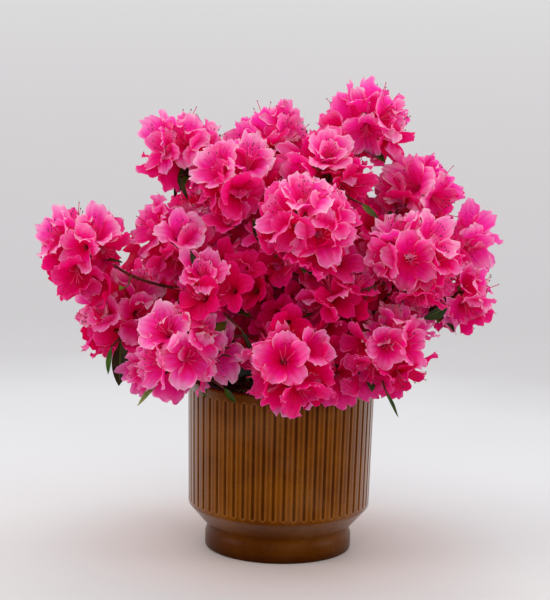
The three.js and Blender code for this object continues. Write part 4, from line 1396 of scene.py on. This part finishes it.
def add_studio():
    world = bpy.data.worlds.new("studio")
    world.use_nodes = True
    background = world.node_tree.nodes["Background"]
    background.inputs["Color"].default_value = SKY["tone"]
    background.inputs["Strength"].default_value = SKY["strength"]
    bpy.context.scene.world = world
    add_floor()
    for name, (strength, spread, way) in SUNS.items():
        data = bpy.data.lights.new(name, "SUN")
        data.energy = strength
        data.angle = math.radians(spread)
        new_object(name, data).rotation_euler = Vector(way).to_track_quat("-Z", "Y").to_euler()
    view = bpy.context.scene.view_settings
    view.view_transform = "Standard"
    view.look = "None"


# The whole plant

def grow_plant():
    limbs = {"trunk": trunk_limb()}
    trusses = []
    for row in CROWN:
        truss = place_truss(row, limbs)
        trusses.append(truss)
        limbs[truss["name"]] = bough_limb(truss, limbs)
    samples = [sample for limb in limbs.values() for sample in limb_samples(limb)]
    spots = np.array([spot for spot, _ in samples])
    radii = np.array([radius for _, radius in samples])
    for index, truss in enumerate(trusses):
        close = np.linalg.norm(spots - truss["centre"], axis=1) < truss["size"] * NEAR_WOOD
        truss["cell"] = truss_cell(truss, trusses)
        truss["wood"] = (spots[close], radii[close])
        truss["growth"] = grow_truss(truss, SEED + index)
    flowers = [flower for truss in trusses for flower in truss["growth"]["flowers"]]
    placed = placed_flowers(spots)
    faces = [flower_face(flower) for flower in flowers + placed]
    # Finer growth keeps off the bough that shows bare
    bare = limbs[BARE_BOUGH["name"]]["curve"].at(np.linspace(*BARE_BOUGH["kept_free"], 30))
    clear = np.full(len(bare), BARE_BOUGH["clear"])
    keep_off = (np.concatenate([spots, bare]), np.concatenate([radii, clear]))
    for index, truss in enumerate(trusses):
        fill_truss(truss, keep_off, faces, EXTRA["seed"] + index)
        if truss["name"] != BARE_BOUGH["name"]:
            whorl(truss, FOLIAGE["seed"] + index)
        lean_truss(truss)
    for flower in fill_crown(trusses, keep_off, faces) + placed:
        owner = min(trusses, key=lambda truss: np.linalg.norm(truss["centre"] - flower["root"]))
        owner["growth"]["flowers"].append(flower)
    return limbs, trusses, spots


def make_wood(limbs, bark):
    sheets = Sheets()
    sheets.add(limb_grid(limbs["trunk"], 0.4, **TRUNK_MESH))
    sheets.piece("trunk_bark", [bark], "bark", ["trunk"])
    boughs = Sheets()
    names = [name for name in limbs if name != "trunk"]
    for index, name in enumerate(names):
        boughs.add(limb_grid(limbs[name], index * 1.7, **BOUGH_MESH))
    boughs.piece("bough_bark", [bark], "bark", ["bough_" + name for name in names])


def make_twigs(trusses, spots, bark):
    """Each truss's stem and twigs, then a stalk and a green cup under every blossom."""
    sheets, stalks = Sheets(), Sheets()
    for index, truss in enumerate(trusses):
        growth = truss["growth"]
        stem = straight(truss["entry"], growth["hub"] + truss["axis"] * 2, 8)
        radii = np.linspace(BOUGH["tip"], TRUSS["stem_radius"], 8)
        sheets.add(tube_grid(stem, radii, 8, bark_relief(index)))
        for twig in growth["twigs"]:
            radii = np.linspace(TRUSS["twig_radius"] * 1.2, TRUSS["twig_radius"], 6)
            sheets.add(tube_grid(straight(growth["hub"], twig["end"], 6), radii, 7, bark_relief(index + 3)))
        for flower in growth["flowers"]:
            facing = flower["facing"]
            foot = flower["foot"] + facing * 0.6
            start = flower.get("stalk_from", flower["root"])
            span = np.linalg.norm(foot - start)
            path = Bezier(start, start + (foot - start) * 0.4, foot - facing * span * 0.35, foot)
            stalks.add(tube_grid(path.at(np.linspace(0, 1, 5)), STALK_RADII, 5))
            cup = flower["foot"] + facing * np.array(CUP["along"])[:, None]
            stalks.add(tube_grid(cup, np.array(CUP["radii"]) * flower["scale"], CUP["sides"]), 1)
    for run in PLACED_TWIGS:
        path = Bezier(*run[:2], *run[-2:]).at(np.linspace(0, 1, 7))
        radii = np.linspace(1.1, 0.7, 7) * PLACED_TWIG_RADIUS
        sheets.add(tube_grid(path, radii, 6, bark_relief(len(run))))
    # The placed leaves and the placed twig reach back to the nearest wood
    hubs = np.concatenate([spots, [truss["growth"]["hub"] for truss in trusses]])
    for root in np.array([row[0] for row in PLACED_LEAVES] + [PLACED_TWIGS[0][0]], float):
        path = straight(nearest(hubs, root), root, 6)
        sheets.add(tube_grid(path, np.linspace(1.1, 0.8, 6), 6, bark_relief(2)))
    sheets.piece("truss_twigs", [bark], "bark")
    stalks.piece("blossom_stalks", plain_materials(STALK_FINISHES), "leaf")


def make_blossom(trusses):
    petals = [petal_material(tint, blotched) for tint in TINTS for blotched in (False, True)]
    filaments, anthers = Sheets(), Sheets()
    for number, members in enumerate(np.array_split(np.arange(len(trusses)), PETAL_PIECES)):
        sheets = Sheets()
        for index in members:
            random = seeded(PETAL_SEED + int(index))
            for flower in trusses[index]["growth"]["flowers"]:
                add_petals(sheets, flower, random)
                if flower["kind"] == "main" or (random() > 0.5 and flower["kind"] == "extra"):
                    add_stamens(filaments, anthers, flower, random)
        replaced = ["bloom_" + trusses[index]["name"] for index in members]
        sheets.piece(f"petals_{number + 1}", petals, "petal", replaced)
    filaments.piece("filaments", plain_materials(FILAMENT_FINISHES), "petal")
    anthers.piece("anthers", plain_materials(ANTHER_FINISHES), "petal")


def make_leaves(trusses):
    sheets = Sheets()
    random = seeded(LEAF_SEED)
    for truss in trusses:
        for leaf in truss["growth"]["leaves"]:
            sheets.add(leaf_grid(leaf, random), int(random() * FOLIAGE["tones"]), (-1, 1))
    for root, tip, wide, droop, tone, faces in PLACED_LEAVES:
        way = np.array(tip, float) - root
        span = np.linalg.norm(way)
        leaf = dict(root=root, axis=way / span, scale=span / LEAF["length"])
        leaf.update(wide=wide, droop=droop, faces=faces)
        sheets.add(leaf_grid(leaf, random), tone, (-1, 1))
    sheets.piece("leaves", [leaf_material(name) for name in LEAF_TONES], "leaf")


def main():
    add_camera()
    add_studio()
    limbs, trusses, spots = grow_plant()
    make_wood(limbs, bark_material("bark"))
    for index, truss in enumerate(trusses):
        random = seeded(DRESS["seed"] + index)
        for flower in truss["growth"]["flowers"]:
            dress_flower(flower, random)
    show_bare_bough(trusses, limbs)
    make_twigs(trusses, spots, bark_material("twig_bark"))
    make_blossom(trusses)
    make_leaves(trusses)
    make_planter(glaze_material())
    make_grow_pot(grained_material("pot_plastic_black", PLASTIC_TONES, **PLASTIC_GRAIN))
    make_compost([grained_material(name, tones, **COMPOST_GRAIN) for name, tones in COMPOST_TONES.items()])


main()
